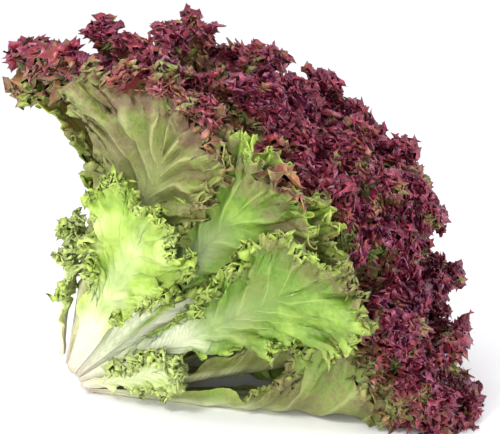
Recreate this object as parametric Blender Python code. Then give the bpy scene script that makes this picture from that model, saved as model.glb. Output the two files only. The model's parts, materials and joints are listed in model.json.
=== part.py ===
"""A head of lollo rosso lettuce, cut at the stem and lying on its side.

All the leaves aim back to one point behind the stem's cut, the apex, and open from it like
nested cones. A place on the head is therefore given by three numbers: a layer, from 0 on the
head's axis to about 1 on the outermost cone, an azimuth round the axis, and a radius from the
apex. Leaves that overlap lie in different layers, and a frill fills no more than half of the
room up to the next leaf, so no two leaves cross.
"""

import math

import bpy
import numpy as np

# The head as a whole, in metres and degrees
HEAD_RADIUS = 0.193
AXIS_RISE = 40.0
APEX_HEIGHT = -0.0020
OPENING_UP = 0.885
OPENING_DOWN = 0.885
OPENING_NEAR = 0.60
OPENING_FAR = 0.85
SPREAD_NEAR = 8.0
SPREAD_FAR = 4.0
SPREAD_AT = 34.0
SPREAD_WIDTH = 14.0
NECK_SHARE = 0.86
NECK_LENGTH = 0.060
SIDE_FLARE = 1.5
TOP_FLARE = 26.0
TOP_FLARE_POWER = 8
FLARE_START = 0.55
FLOOR_SOFTNESS = 0.0042
CONTACT = 0.0009

# The stem
CUT_DISTANCE = 0.0150
CUT_NEARNESS = 0.002
STEM_START = 0.018
STEM_END = 0.062
STEM_LAYER_AT_CUT = 0.70
STEM_LAYER_AT_END = 0.03
STEM_SIDES = 20
STEM_RINGS = 6
STEM_POINT = 0.004

# Leaves seen in the photo, and the outermost ones on the far side: azimuth, layer, length as a
# share of the head's radius, half widths of stalk and blade in degrees, the share of the length
# where the blade starts to widen, and the columns of the mesh
BASE_LEAVES = (
    (350.0, 1.08, 0.48, 12.0, 21.0, 0.16, 16),
    (57.0, 1.16, 0.78, 12.0, 20.0, 0.36, 16),
    (112.0, 1.19, 0.42, 10.0, 14.0, 0.16, 12),
    (262.0, 1.13, 0.52, 16.0, 30.0, 0.16, 16),
)
OUTER_LEAVES = (
    (158.0, 0.92, 1.00, 19.0, 38.0, 0.44, 24),
    (46.0, 0.98, 1.07, 15.0, 20.0, 0.30, 24),
    (18.0, 0.86, 0.96, 12.0, 29.0, 0.36, 24),
    (73.0, 0.96, 1.04, 10.0, 21.0, 0.42, 20),
    (102.0, 1.03, 0.98, 12.0, 19.0, 0.44, 20),
    (325.0, 0.96, 0.92, 16.0, 34.0, 0.36, 20),
    (289.0, 0.84, 1.01, 16.0, 36.0, 0.22, 24),
    (252.0, 0.98, 0.96, 16.0, 36.0, 0.22, 24),
    (213.0, 0.83, 1.00, 16.0, 36.0, 0.22, 24),
    (82.0, 0.83, 1.00, 20.0, 27.0, 0.40, 20),
)

# Two rings of leaves inside those, then the heart, whose leaves follow the golden angle
RING_LEAVES = 5
RINGS = ((0.70, 14.0), (0.58, 50.0))
RING_STALK = 15.0
RING_HALF_WIDTH = 35.5
RING_COLUMNS = 20
HEART_LEAVES = 7
HEART_AZIMUTH = 100.0
GOLDEN_ANGLE = 137.508
HEART_LAYER = 0.50
HEART_STEP = 0.06
HEART_STALK = 20.0
HEART_HALF_WIDTH = 48.0
HEART_WIDENING = 2.8
HEART_COLUMNS = 16

# Where a leaf starts on the stem, in layers clear of the stem's surface
LEAF_CLEARANCE = 0.07

# Thickness of a blade and of its midrib
BLADE = 0.0009
RIB_SLOPE = 0.10
RIB_MOST = 0.0040
RIB_TAPER = 0.92
RIB_EDGE_SHARE = 0.25
RIB_PER_DEGREE = 0.00073
RIB_TIP_HALF_WIDTH = 0.0016
RIB_LEAST_SHARE = 0.06
RIB_MOST_SHARE = 0.60
RIB_LEAN = 9.0
RIB_NARROWING = 1.2
MOST_FOLD = 1.6

# The frill: shares of three nested waves, which turn every two, four and eight columns
WAVES = ((2, 0.50), (4, 0.30), (8, 0.20))
WAVE_VARIATION = 0.18
VARIATION_RATE = 1.31
FRILL_MOST = 0.0105
FRILL_SHARE = 0.065
FRILL_ROOT = 0.28
FRILL_POWER = 1.3
FRILL_LEAD = 0.14
FRILL_RUN = 0.24
ROOM_MOST = 0.026
GAP = 0.0004
EDGE_SOFTNESS = 14.0
TIP_MARGIN = 1.06
TIP_SOFTNESS = 0.2
TOOTH = 0.0032
SEED = 7

# Outline of a blade, as shares of its length and of its half width
WIDENING_AT = 0.20
WIDENING_RUN = 0.44
LENGTH_TILT = 0.07
RIB_END = 0.80
STALK_WEIGHT = 0.40
OUTLINE_SAMPLES = 160

# Rows of a blade's mesh from the rib's edge outwards: how far across, and how many of the
# edge's columns go into one
BLADE_ROWS = ((0.30, 4), (0.58, 2), (0.80, 1), (1.00, 1))
RIB_COLUMN_SHARE = 4

AXIS = np.array([math.cos(math.radians(AXIS_RISE)), 0, math.sin(math.radians(AXIS_RISE))])
UPPER = np.array([-math.sin(math.radians(AXIS_RISE)), 0, math.cos(math.radians(AXIS_RISE))])
NEAR = np.array([0.0, -1.0, 0.0])


def smooth(share):
    """A soft step from 0 to 1."""
    share = np.clip(share, 0.0, 1.0)
    return share * share * (3 - 2 * share)


def opening_angle(layer, azimuth, radius):
    """The angle from the head's axis, in radians, of a place on the head.

    Across its axis the head is made of four quarter ellipses. Its weight spreads the lowest
    leaves along the floor, and the ends of the top leaves curl back.
    """
    height, near = np.cos(azimuth), np.sin(azimuth)
    tall = np.where(height > 0, OPENING_UP, OPENING_DOWN)
    wide = np.where(near > 0, OPENING_NEAR, OPENING_FAR)
    opening = np.degrees(np.arctan(1 / np.hypot(height / tall, near / wide)))
    from_floor = np.abs((np.degrees(azimuth) % 360) - 180)
    spread = np.where(near > 0, SPREAD_NEAR, SPREAD_FAR)
    opening = opening + spread * np.exp(-(((from_floor - SPREAD_AT) / SPREAD_WIDTH) ** 2))
    neck = NECK_SHARE + (1 - NECK_SHARE) * smooth(radius / NECK_LENGTH)
    flare = SIDE_FLARE + TOP_FLARE * np.maximum(height, 0) ** TOP_FLARE_POWER
    flare = flare * smooth((radius / HEAD_RADIUS - FLARE_START) / (1 - FLARE_START))
    return np.radians(layer * opening * neck + layer**2 * flare)


def place(layer, azimuth, radius):
    """The point at a layer, azimuth and radius, eased up where it would sink into the floor."""
    angle = opening_angle(layer, azimuth, radius)[..., None]
    azimuth = azimuth[..., None]
    across = np.cos(azimuth) * UPPER + np.sin(azimuth) * NEAR
    point = radius[..., None] * (np.cos(angle) * AXIS + np.sin(angle) * across)
    height = point[..., 2] + APEX_HEIGHT
    eased = FLOOR_SOFTNESS * np.exp(np.minimum(height / FLOOR_SOFTNESS - 1, 0))
    point[..., 2] = np.where(height < FLOOR_SOFTNESS, eased, height)
    return point


def layer_depth(layer, azimuth, radius):
    """Metres between two layers a whole layer unit apart, at this place."""
    step = 0.01
    angle = opening_angle(layer + step, azimuth, radius) - opening_angle(layer, azimuth, radius)
    return radius * angle / step


def stem_layer(radius):
    """The layer that the stem's surface has reached at a radius."""
    share = np.clip((radius - STEM_START) / (STEM_END - STEM_START), 0, 1)
    return STEM_LAYER_AT_CUT + (STEM_LAYER_AT_END - STEM_LAYER_AT_CUT) * share


def make_leaf(name, azimuth, layer, length, stalk, half_width, widening, columns, chance):
    """The plan of one leaf, with the chance shifts of its frill. Leaves on top are shorter."""
    tilt = 1 - LENGTH_TILT * layer * math.cos(math.radians(azimuth))
    return dict(
        name=name,
        azimuth=azimuth,
        layer=layer,
        length=length * tilt * HEAD_RADIUS,
        stalk=stalk,
        half_width=half_width,
        widening=widening,
        columns=columns,
        shifts=[int(chance.integers(period)) for period, _ in WAVES],
        phase=chance.uniform(0, 2 * math.pi, 3),
    )


def make_leaves():
    """The plans of all the leaves, from the oldest to the heart."""
    chance = np.random.default_rng(SEED)
    leaves = []
    for number, row in enumerate(BASE_LEAVES):
        leaves.append(make_leaf(f"base_leaf_{number + 1}", *row, chance))
    for number, row in enumerate(OUTER_LEAVES):
        leaves.append(make_leaf(f"outer_leaf_{number + 1}", *row, chance))
    for ring, (layer, start) in enumerate(RINGS):
        for number in range(RING_LEAVES):
            name = f"middle_leaf_{ring * RING_LEAVES + number + 1}"
            azimuth = (start + 360 / RING_LEAVES * number) % 360
            length = chance.uniform(1.01, 1.05)
            row = (azimuth, layer, length, RING_STALK, RING_HALF_WIDTH, WIDENING_AT, RING_COLUMNS)
            leaves.append(make_leaf(name, *row, chance))
    for number in range(HEART_LEAVES):
        azimuth = (HEART_AZIMUTH + number * GOLDEN_ANGLE) % 360
        layer = HEART_LAYER - number * HEART_STEP
        half_width = HEART_HALF_WIDTH + number * HEART_WIDENING
        length = chance.uniform(1.05, 1.09)
        row = (azimuth, layer, length, HEART_STALK, half_width, WIDENING_AT, HEART_COLUMNS)
        leaves.append(make_leaf(f"heart_leaf_{number + 1}", *row, chance))
    return leaves


def half_width_at(leaf, share):
    """Half width of a leaf, in degrees of azimuth, at a share of its length."""
    widest_at = leaf["widening"] + WIDENING_RUN
    below = smooth((share - leaf["widening"]) / WIDENING_RUN)
    past = np.clip((share - widest_at) / (1 - widest_at), 0, 1)
    wide = leaf["half_width"]
    rising = leaf["stalk"] + (wide - leaf["stalk"]) * below
    return np.where(share < widest_at, rising, wide * np.sqrt(np.maximum(1 - past**3, 0)))


def radius_at(leaf, share, azimuth):
    """Radius at a share of a leaf's length. Old leaves start at the cut, others on the stem."""
    layer = leaf["layer"]
    fall = (STEM_LAYER_AT_CUT - layer + LEAF_CLEARANCE) / (STEM_LAYER_AT_CUT - STEM_LAYER_AT_END)
    on_stem = STEM_START + fall * (STEM_END - STEM_START)
    angle = opening_angle(layer, azimuth, np.full_like(azimuth, STEM_START))
    start = np.maximum(on_stem, CUT_DISTANCE / np.cos(angle))
    return start + share * (leaf["length"] - start)


def edge_at(leaf, up):
    """Length share and half width of a leaf's edge, going up from its base (0) to its tip (1)."""
    share = 1 - (1 - np.linspace(0, 1, OUTLINE_SAMPLES)) ** 2
    width = half_width_at(leaf, share)
    azimuth = np.radians(leaf["azimuth"] + width)
    points = place(np.full_like(azimuth, leaf["layer"]), azimuth, radius_at(leaf, share, azimuth))
    steps = np.linalg.norm(np.diff(points, axis=0), axis=1)
    widest_at = leaf["widening"] + WIDENING_RUN
    weight = STALK_WEIGHT + (1 - STALK_WEIGHT) * smooth(share[1:] / widest_at)
    run = np.concatenate([[0], np.cumsum(steps * weight)])
    run /= run[-1]
    return np.interp(up, run, share), np.interp(up, run, width)


def room_beside(leaf, leaves, azimuth, radius):
    """How far, in layers, the next leaf outside and the next one inside are at a place."""
    outside = np.full_like(azimuth, 1.0)
    inside = np.full_like(azimuth, leaf["layer"])
    for other in leaves:
        gap = other["layer"] - leaf["layer"]
        if gap == 0:
            continue
        apart = np.abs((np.degrees(azimuth) - other["azimuth"] + 180) % 360 - 180)
        share = radius / other["length"]
        width = np.maximum(half_width_at(other, np.minimum(share / TIP_MARGIN, 1)), other["stalk"])
        sideways = smooth((apart - width) / EDGE_SOFTNESS)
        ahead = smooth((share - TIP_MARGIN) / TIP_SOFTNESS)
        room = abs(gap) + np.maximum(sideways, ahead)
        if gap > 0:
            outside = np.minimum(outside, room)
        else:
            inside = np.minimum(inside, room)
    return outside, inside


def wave_at(leaf, place_on_edge):
    """The frill's height, from -1 to 1, at a place counted in columns from the tip."""
    height = np.zeros_like(place_on_edge)
    for (period, share), shift in zip(WAVES, leaf["shifts"]):
        height += share * np.cos(2 * math.pi * (place_on_edge + shift) / period)
    vary = np.sin(VARIATION_RATE * place_on_edge + leaf["phase"][0])
    return height * (1 - WAVE_VARIATION + WAVE_VARIATION * vary)


def blade_points(leaf, leaves, column, across):
    """Middle surface of a leaf. column goes from -1, a base corner, over 0, the tip, to 1."""
    side = np.sign(column)
    up = 1 - np.abs(column)
    edge_share, edge_width = edge_at(leaf, up)
    rib_share = RIB_END * (up + edge_share) / 2
    length_share = rib_share + (edge_share - rib_share) * across
    azimuth = np.radians(leaf["azimuth"] + side * edge_width * across)
    radius = radius_at(leaf, length_share, azimuth)
    layer = np.full_like(azimuth, leaf["layer"])
    depth = layer_depth(layer, azimuth, radius)
    outside, inside = room_beside(leaf, leaves, azimuth, radius)
    clear = GAP + BLADE / 2 * MOST_FOLD
    most = min(FRILL_MOST, FRILL_SHARE * leaf["length"])
    most_out = np.clip(np.minimum(outside * depth, ROOM_MOST) / 2 - clear, 0, most)
    most_in = np.clip(np.minimum(inside * depth, ROOM_MOST) / 2 - clear, 0, most)
    grown = np.clip((across - FRILL_ROOT) / (1 - FRILL_ROOT), 0, 1) ** FRILL_POWER
    grown = grown * smooth((length_share - leaf["widening"] + FRILL_LEAD) / FRILL_RUN)
    wave = wave_at(leaf, column * leaf["columns"])
    middle = (most_out - most_in) / 2
    swing = (most_out + most_in) / 2
    layer = layer + grown * (middle + wave * swing) / depth
    tooth = np.cos(math.pi / 2 * column * leaf["columns"] + leaf["phase"][1])
    radius = radius + TOOTH * tooth * grown**2
    return place(layer, azimuth, radius)


def rib_edge(leaf, column):
    """How far across the leaf its midrib reaches, on the way out to a column's edge point."""
    up = 1 - np.abs(column)
    edge_share, edge_width = edge_at(leaf, up)
    azimuth = np.full_like(up, math.radians(leaf["azimuth"]))
    radius = radius_at(leaf, RIB_END * (up + edge_share) / 2, azimuth)
    angle = opening_angle(np.full_like(up, leaf["layer"]), azimuth, radius)
    reach = np.maximum(np.radians(edge_width) * radius * np.sin(angle), 1e-4)
    widest = RIB_PER_DEGREE * leaf["stalk"]
    half = RIB_TIP_HALF_WIDTH + (widest - RIB_TIP_HALF_WIDTH) * (1 - up) ** RIB_NARROWING
    return np.clip(half / reach, RIB_LEAST_SHARE, RIB_MOST_SHARE)


def rib_height(leaf, leaves, column):
    """How far the midrib stands out of the leaf's back, within half of the room there."""
    up = 1 - np.abs(column)
    edge_share, _ = edge_at(leaf, up)
    azimuth = np.full_like(up, math.radians(leaf["azimuth"]))
    radius = radius_at(leaf, RIB_END * (up + edge_share) / 2, azimuth)
    depth = layer_depth(np.full_like(up, leaf["layer"]), azimuth, radius)
    beside = [azimuth + lean * math.radians(RIB_LEAN) for lean in (-1, 0, 1)]
    outside = np.min([room_beside(leaf, leaves, turned, radius)[0] for turned in beside], axis=0)
    room = np.maximum(outside * depth / 2 - BLADE / 2 - GAP, 0)
    wanted = np.minimum(RIB_SLOPE * radius, RIB_MOST) * (1 - RIB_TAPER * up)
    return np.minimum(wanted, room)


def strip(low, high):
    """Triangles between two rows of vertices, the second as fine as the first or twice so."""
    step = (len(high) - 1) // (len(low) - 1)
    faces = []
    for k in range(len(low) - 1):
        first, second = low[k], low[k + 1]
        run = high[k * step : (k + 1) * step + 1]
        middle = len(run) // 2
        for j in range(len(run) - 1):
            faces.append((first if j < middle else second, run[j + 1], run[j]))
        faces.append((first, second, run[middle]))
    return [face for face in faces if len(set(face)) == 3]


def sheet_normals(points, faces):
    """Normals of an open sheet's vertices to the leaf's back, longer where the sheet folds."""
    first, second, third = (points[faces[:, k]] for k in range(3))
    flat = np.cross(second - first, third - first)
    flat /= np.maximum(np.linalg.norm(flat, axis=1, keepdims=True), 1e-12)
    normals = np.zeros_like(points)
    for k in range(3):
        np.add.at(normals, faces[:, k], flat)
    normals /= np.maximum(np.linalg.norm(normals, axis=1, keepdims=True), 1e-12)
    along = np.zeros(len(points))
    count = np.zeros(len(points))
    for k in range(3):
        np.add.at(along, faces[:, k], np.sum(normals[faces[:, k]] * flat, axis=1))
        np.add.at(count, faces[:, k], 1)
    fold = np.minimum(1 / np.maximum(along / count, 0.1), MOST_FOLD)
    outward = points - AXIS * (points @ AXIS)[:, None]
    side = 1 if np.sum(normals * outward) > 0 else -1
    return side * normals * fold[:, None]


def open_edges(faces):
    """The edges that only one triangle has, each in the direction that the triangle runs."""
    edges = [(int(face[k]), int(face[(k + 1) % 3])) for face in faces for k in range(3)]
    known = set(edges)
    return [(first, second) for first, second in edges if (second, first) not in known]


def leaf_mesh(leaf, leaves):
    """Vertices and triangles of a leaf: one sheet, thickened, with its rim closed."""
    rows, points, height = [], [], []
    count = 0
    rib_columns = leaf["columns"] // RIB_COLUMN_SHARE
    plan = [("middle", rib_columns), ("rib edge", rib_columns)]
    plan += [(across, leaf["columns"] // merged) for across, merged in BLADE_ROWS]
    for across, columns in plan:
        column = np.linspace(-1, 1, 2 * columns + 1)
        if across == "middle":
            column = column[: columns + 1]
            share = np.zeros_like(column)
            stands = rib_height(leaf, leaves, column)
        elif across == "rib edge":
            share = rib_edge(leaf, column)
            stands = RIB_EDGE_SHARE * rib_height(leaf, leaves, column)
        else:
            share = rib_edge(leaf, column)
            share = share + (1 - share) * across
            stands = np.zeros_like(column)
        points.append(blade_points(leaf, leaves, column, share))
        height.append(stands)
        row = list(range(count, count + len(column)))
        count += len(column)
        rows.append(row + row[-2::-1] if across == "middle" else row)
    points = np.concatenate(points)
    height = np.concatenate(height)
    faces = np.array([face for low, high in zip(rows, rows[1:]) for face in strip(low, high)])
    normals = sheet_normals(points, faces)
    back = points + normals * (BLADE / 2 + height)[:, None]
    front = points - normals * (BLADE / 2)
    left = [row[0] for row in rows]
    right = [row[-1] for row in rows]
    if np.isclose(points[left[0]] @ AXIS, CUT_DISTANCE, atol=CUT_NEARNESS):
        for sheet in (back, front):
            foot = sorted(set(left + right))
            sheet[foot] *= (CUT_DISTANCE / (sheet[foot] @ AXIS))[:, None]
    back[:, 2] = np.where(back[:, 2] < CONTACT, 0.0, back[:, 2])
    both = np.concatenate([back, front])
    both[:, 2] = np.maximum(both[:, 2], 0.0)
    closing = []
    for first, second in open_edges(faces):
        closing += [(second, first, first + count), (second, first + count, second + count)]
    return both, np.concatenate([faces, faces[:, ::-1] + count, np.array(closing)])


def stem_mesh():
    """The solid stem: a flat cut end, and a cone that the leaves grow from."""
    turn = np.linspace(0, 2 * math.pi, STEM_SIDES, endpoint=False)
    layer = np.full_like(turn, STEM_LAYER_AT_CUT)
    angle = opening_angle(layer, turn, np.full_like(turn, STEM_START))
    rings = [place(layer, turn, CUT_DISTANCE / np.cos(angle))]
    for radius in np.linspace(STEM_START, STEM_END, STEM_RINGS)[1:]:
        layer = np.full_like(turn, stem_layer(radius))
        rings.append(place(layer, turn, np.full_like(turn, radius)))
    foot = AXIS * CUT_DISTANCE + [0, 0, APEX_HEIGHT]
    point = AXIS * (STEM_END + STEM_POINT) + [0, 0, APEX_HEIGHT]
    vertices = np.concatenate([*rings, [foot], [point]])
    faces = []
    last = len(rings) - 1
    for side in range(STEM_SIDES):
        after = (side + 1) % STEM_SIDES
        for ring in range(last):
            a, b = ring * STEM_SIDES + side, ring * STEM_SIDES + after
            faces += [(a, b, b + STEM_SIDES), (a, b + STEM_SIDES, a + STEM_SIDES)]
        faces.append((after, side, len(vertices) - 2))
        faces.append((last * STEM_SIDES + side, last * STEM_SIDES + after, len(vertices) - 1))
    return vertices, np.array(faces)


def material(name, colour, roughness):
    made = bpy.data.materials.new(name)
    made.use_nodes = True
    shader = made.node_tree.nodes["Principled BSDF"]
    shader.inputs["Base Color"].default_value = (*colour, 1)
    shader.inputs["Roughness"].default_value = roughness
    shader.inputs["Metallic"].default_value = 0.0
    made.diffuse_color = (*colour, 1)
    return made


def signed_volume(vertices, triangles):
    first, second, third = (vertices[triangles[:, k]] for k in range(3))
    return np.sum(first * np.cross(second, third)) / 6


def add_object(name, vertices, triangles, finish):
    """One named solid, its faces pointing outwards."""
    if signed_volume(vertices, triangles) < 0:
        triangles = triangles[:, ::-1]
    mesh = bpy.data.meshes.new(name)
    mesh.from_pydata(vertices.tolist(), [], triangles.tolist())
    mesh.materials.append(finish)
    made = bpy.data.objects.new(name, mesh)
    bpy.context.scene.collection.objects.link(made)
    return made


def main():
    for old in list(bpy.data.objects):
        bpy.data.objects.remove(old)
    finishes = {
        "stem": material("stem", (0.85, 0.80, 0.66), 0.50),
        "base": material("pale leaf", (0.62, 0.75, 0.25), 0.45),
        "outer": material("outer leaf", (0.30, 0.03, 0.07), 0.42),
        "middle": material("middle leaf", (0.36, 0.05, 0.08), 0.42),
        "heart": material("heart leaf", (0.42, 0.12, 0.09), 0.42),
    }
    leaves = make_leaves()
    shapes = {"stem": stem_mesh()}
    for leaf in leaves:
        shapes[leaf["name"]] = leaf_mesh(leaf, leaves)
    everything = np.concatenate([vertices for vertices, _ in shapes.values()])
    low, high = everything.min(axis=0), everything.max(axis=0)
    shift = np.array([(low[0] + high[0]) / 2, (low[1] + high[1]) / 2, low[2]])
    print("size", (high - low).round(4), "apex at", (-shift).round(5))
    for name, (vertices, triangles) in shapes.items():
        add_object(name, vertices - shift, triangles, finishes[name.split("_")[0]])


main()
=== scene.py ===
# %% [markdown]
# # A head of lollo rosso lettuce
#
# The head lies on its side, its cut stem at the left. Pale ribs fan out of the stem, widen into
# green blades, and end in tight dark red frills that make a dome at the right. The frame gives
# every leaf as a plain folded solid. This lesson grows a fine leaf in the place of each one.

import json
import math

import bpy
import numpy as np
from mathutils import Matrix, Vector

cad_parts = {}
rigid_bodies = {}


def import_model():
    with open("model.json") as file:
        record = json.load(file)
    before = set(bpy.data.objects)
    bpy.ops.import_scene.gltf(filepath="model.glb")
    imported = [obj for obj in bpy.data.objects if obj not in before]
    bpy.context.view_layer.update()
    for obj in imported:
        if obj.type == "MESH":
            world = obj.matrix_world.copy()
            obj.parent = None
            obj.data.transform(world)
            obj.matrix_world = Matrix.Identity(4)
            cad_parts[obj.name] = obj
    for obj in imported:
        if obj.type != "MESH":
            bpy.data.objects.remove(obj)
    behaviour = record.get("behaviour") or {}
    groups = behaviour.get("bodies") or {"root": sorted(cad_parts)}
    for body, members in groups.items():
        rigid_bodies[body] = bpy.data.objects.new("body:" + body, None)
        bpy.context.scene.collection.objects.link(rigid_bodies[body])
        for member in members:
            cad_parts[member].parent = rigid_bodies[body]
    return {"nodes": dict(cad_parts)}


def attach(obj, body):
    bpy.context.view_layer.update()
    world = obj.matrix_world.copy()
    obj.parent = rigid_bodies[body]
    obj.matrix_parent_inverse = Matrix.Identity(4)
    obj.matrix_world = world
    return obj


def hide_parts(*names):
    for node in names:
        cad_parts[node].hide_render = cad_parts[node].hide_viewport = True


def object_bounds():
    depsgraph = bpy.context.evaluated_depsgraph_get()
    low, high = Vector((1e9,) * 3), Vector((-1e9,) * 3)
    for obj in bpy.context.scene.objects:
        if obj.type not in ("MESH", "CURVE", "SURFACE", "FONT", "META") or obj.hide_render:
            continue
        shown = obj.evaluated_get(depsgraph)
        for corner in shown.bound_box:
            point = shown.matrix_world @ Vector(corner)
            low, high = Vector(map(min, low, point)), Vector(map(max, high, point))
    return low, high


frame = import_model()
FRAME_BOX = [list(corner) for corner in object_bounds()]
SIZE = [high - low for low, high in zip(*FRAME_BOX)]
print("frame box in mm:", [round(1000 * side, 1) for side in SIZE])

# %% [markdown]
# ## Where a place on the head is
#
# All leaves aim back to one point behind the cut, the apex, and open from it like nested cones.
# A place on the head is three numbers: its layer (0 on the axis, about 1 on the outside), its
# azimuth round the axis, and its radius from the apex. One could draw each leaf by hand, but in
# these numbers a leaf is a simple outline, and leaves in different layers never meet.

# %% The head's measures
# Metres and degrees. An opening is the tangent of the angle from the axis to the outside.
HEAD_RADIUS = 0.193
AXIS_RISE = 40.0
APEX_HEIGHT = -0.0020
OPENING_UP = 0.885
OPENING_DOWN = 0.885
OPENING_NEAR = 0.60
OPENING_FAR = 0.85
SPREAD_NEAR = 8.0
SPREAD_FAR = 4.0
SPREAD_AT = 34.0
SPREAD_WIDTH = 14.0
NECK_SHARE = 0.86
NECK_LENGTH = 0.060
SIDE_FLARE = 1.5
TOP_FLARE = 26.0
TOP_FLARE_POWER = 8
FLARE_START = 0.55
FLOOR_SOFTNESS = 0.0042

AXIS = np.array([math.cos(math.radians(AXIS_RISE)), 0, math.sin(math.radians(AXIS_RISE))])
UPPER = np.array([-math.sin(math.radians(AXIS_RISE)), 0, math.cos(math.radians(AXIS_RISE))])
NEAR = np.array([0.0, -1.0, 0.0])
print("the head's axis points along", AXIS.round(3))

# %% From a layer, azimuth and radius to a point


def smooth(share):
    """A soft step from 0 to 1."""
    share = np.clip(share, 0.0, 1.0)
    return share * share * (3 - 2 * share)


def opening_angle(layer, azimuth, radius):
    """The angle from the head's axis, in radians, of a place on the head."""
    height, near = np.cos(azimuth), np.sin(azimuth)
    tall = np.where(height > 0, OPENING_UP, OPENING_DOWN)
    wide = np.where(near > 0, OPENING_NEAR, OPENING_FAR)
    opening = np.degrees(np.arctan(1 / np.hypot(height / tall, near / wide)))
    from_floor = np.abs((np.degrees(azimuth) % 360) - 180)
    spread = np.where(near > 0, SPREAD_NEAR, SPREAD_FAR)
    opening = opening + spread * np.exp(-(((from_floor - SPREAD_AT) / SPREAD_WIDTH) ** 2))
    neck = NECK_SHARE + (1 - NECK_SHARE) * smooth(radius / NECK_LENGTH)
    flare = SIDE_FLARE + TOP_FLARE * np.maximum(height, 0) ** TOP_FLARE_POWER
    flare = flare * smooth((radius / HEAD_RADIUS - FLARE_START) / (1 - FLARE_START))
    return np.radians(layer * opening * neck + layer**2 * flare)


def place(layer, azimuth, radius):
    """The point at a layer, azimuth and radius, eased up where it would sink into the floor."""
    angle = opening_angle(layer, azimuth, radius)[..., None]
    azimuth = azimuth[..., None]
    across = np.cos(azimuth) * UPPER + np.sin(azimuth) * NEAR
    point = radius[..., None] * (np.cos(angle) * AXIS + np.sin(angle) * across)
    height = point[..., 2] + APEX_HEIGHT
    eased = FLOOR_SOFTNESS * np.exp(np.minimum(height / FLOOR_SOFTNESS - 1, 0))
    point[..., 2] = np.where(height < FLOOR_SOFTNESS, eased, height)
    return point


def layer_depth(layer, azimuth, radius):
    """Metres between two layers a whole layer unit apart, at this place."""
    step = 0.01
    angle = opening_angle(layer + step, azimuth, radius) - opening_angle(layer, azimuth, radius)
    return radius * angle / step


print("the head's axis rises", AXIS_RISE, "degrees; leaves are up to", HEAD_RADIUS, "m long")

# %% [markdown]
# ## The plan of the leaves
#
# The outer leaves are each placed where the photo shows them. Inside those come two rings of
# five, and then the heart, whose leaves follow the golden angle as they do on a real stem.

# %% Where the leaves grow
CUT_DISTANCE = 0.0150
STEM_START = 0.018
STEM_END = 0.062
STEM_LAYER_AT_CUT = 0.70
STEM_LAYER_AT_END = 0.03
LEAF_CLEARANCE = 0.07

# Azimuth, layer, length, half widths of stalk and blade in degrees, start of the blade, columns
BASE_LEAVES = (
    (350.0, 1.08, 0.48, 12.0, 21.0, 0.16, 16),
    (57.0, 1.16, 0.78, 12.0, 20.0, 0.36, 16),
    (112.0, 1.19, 0.42, 10.0, 14.0, 0.16, 12),
    (262.0, 1.13, 0.52, 16.0, 30.0, 0.16, 16),
)
OUTER_LEAVES = (
    (158.0, 0.92, 1.00, 19.0, 38.0, 0.44, 24),
    (46.0, 0.98, 1.07, 15.0, 20.0, 0.30, 24),
    (18.0, 0.86, 0.96, 12.0, 29.0, 0.36, 24),
    (73.0, 0.96, 1.04, 10.0, 21.0, 0.42, 20),
    (102.0, 1.03, 0.98, 12.0, 19.0, 0.44, 20),
    (325.0, 0.96, 0.92, 16.0, 34.0, 0.36, 20),
    (289.0, 0.84, 1.01, 16.0, 36.0, 0.22, 24),
    (252.0, 0.98, 0.96, 16.0, 36.0, 0.22, 24),
    (213.0, 0.83, 1.00, 16.0, 36.0, 0.22, 24),
    (82.0, 0.83, 1.00, 20.0, 27.0, 0.40, 20),
)
RING_LEAVES = 5
RINGS = ((0.70, 14.0), (0.58, 50.0))
RING_STALK = 15.0
RING_HALF_WIDTH = 35.5
RING_COLUMNS = 20
RING_LENGTHS = (1.01, 1.05)
HEART_LEAVES = 7
HEART_AZIMUTH = 100.0
GOLDEN_ANGLE = 137.508
HEART_LAYER = 0.50
HEART_STEP = 0.06
HEART_STALK = 20.0
HEART_HALF_WIDTH = 48.0
HEART_WIDENING = 2.8
HEART_COLUMNS = 16
HEART_LENGTHS = (1.05, 1.09)
WIDENING_AT = 0.20
WIDENING_RUN = 0.44
LENGTH_TILT = 0.07
WAVES = ((2, 0.50), (4, 0.30), (8, 0.20))
SEED = 7

# The frame's solids end where the curls do, so a sheet ends this much sooner
CURL_ROOM = 0.0035
print("leaves placed one by one:", len(BASE_LEAVES) + len(OUTER_LEAVES))

# %% The plan of each leaf, from the oldest to the heart


def make_leaf(name, azimuth, layer, length, stalk, half_width, widening, columns, chance):
    """The plan of one leaf, with the chance shifts of its frill. Leaves on top are shorter."""
    tilt = 1 - LENGTH_TILT * layer * math.cos(math.radians(azimuth))
    return dict(
        name=name,
        azimuth=azimuth,
        layer=layer,
        length=length * tilt * HEAD_RADIUS - CURL_ROOM,
        stalk=stalk,
        half_width=half_width,
        widening=widening,
        columns=columns,
        shifts=[int(chance.integers(period)) for period, _ in WAVES],
        phase=chance.uniform(0, 2 * math.pi, 3),
    )


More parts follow.
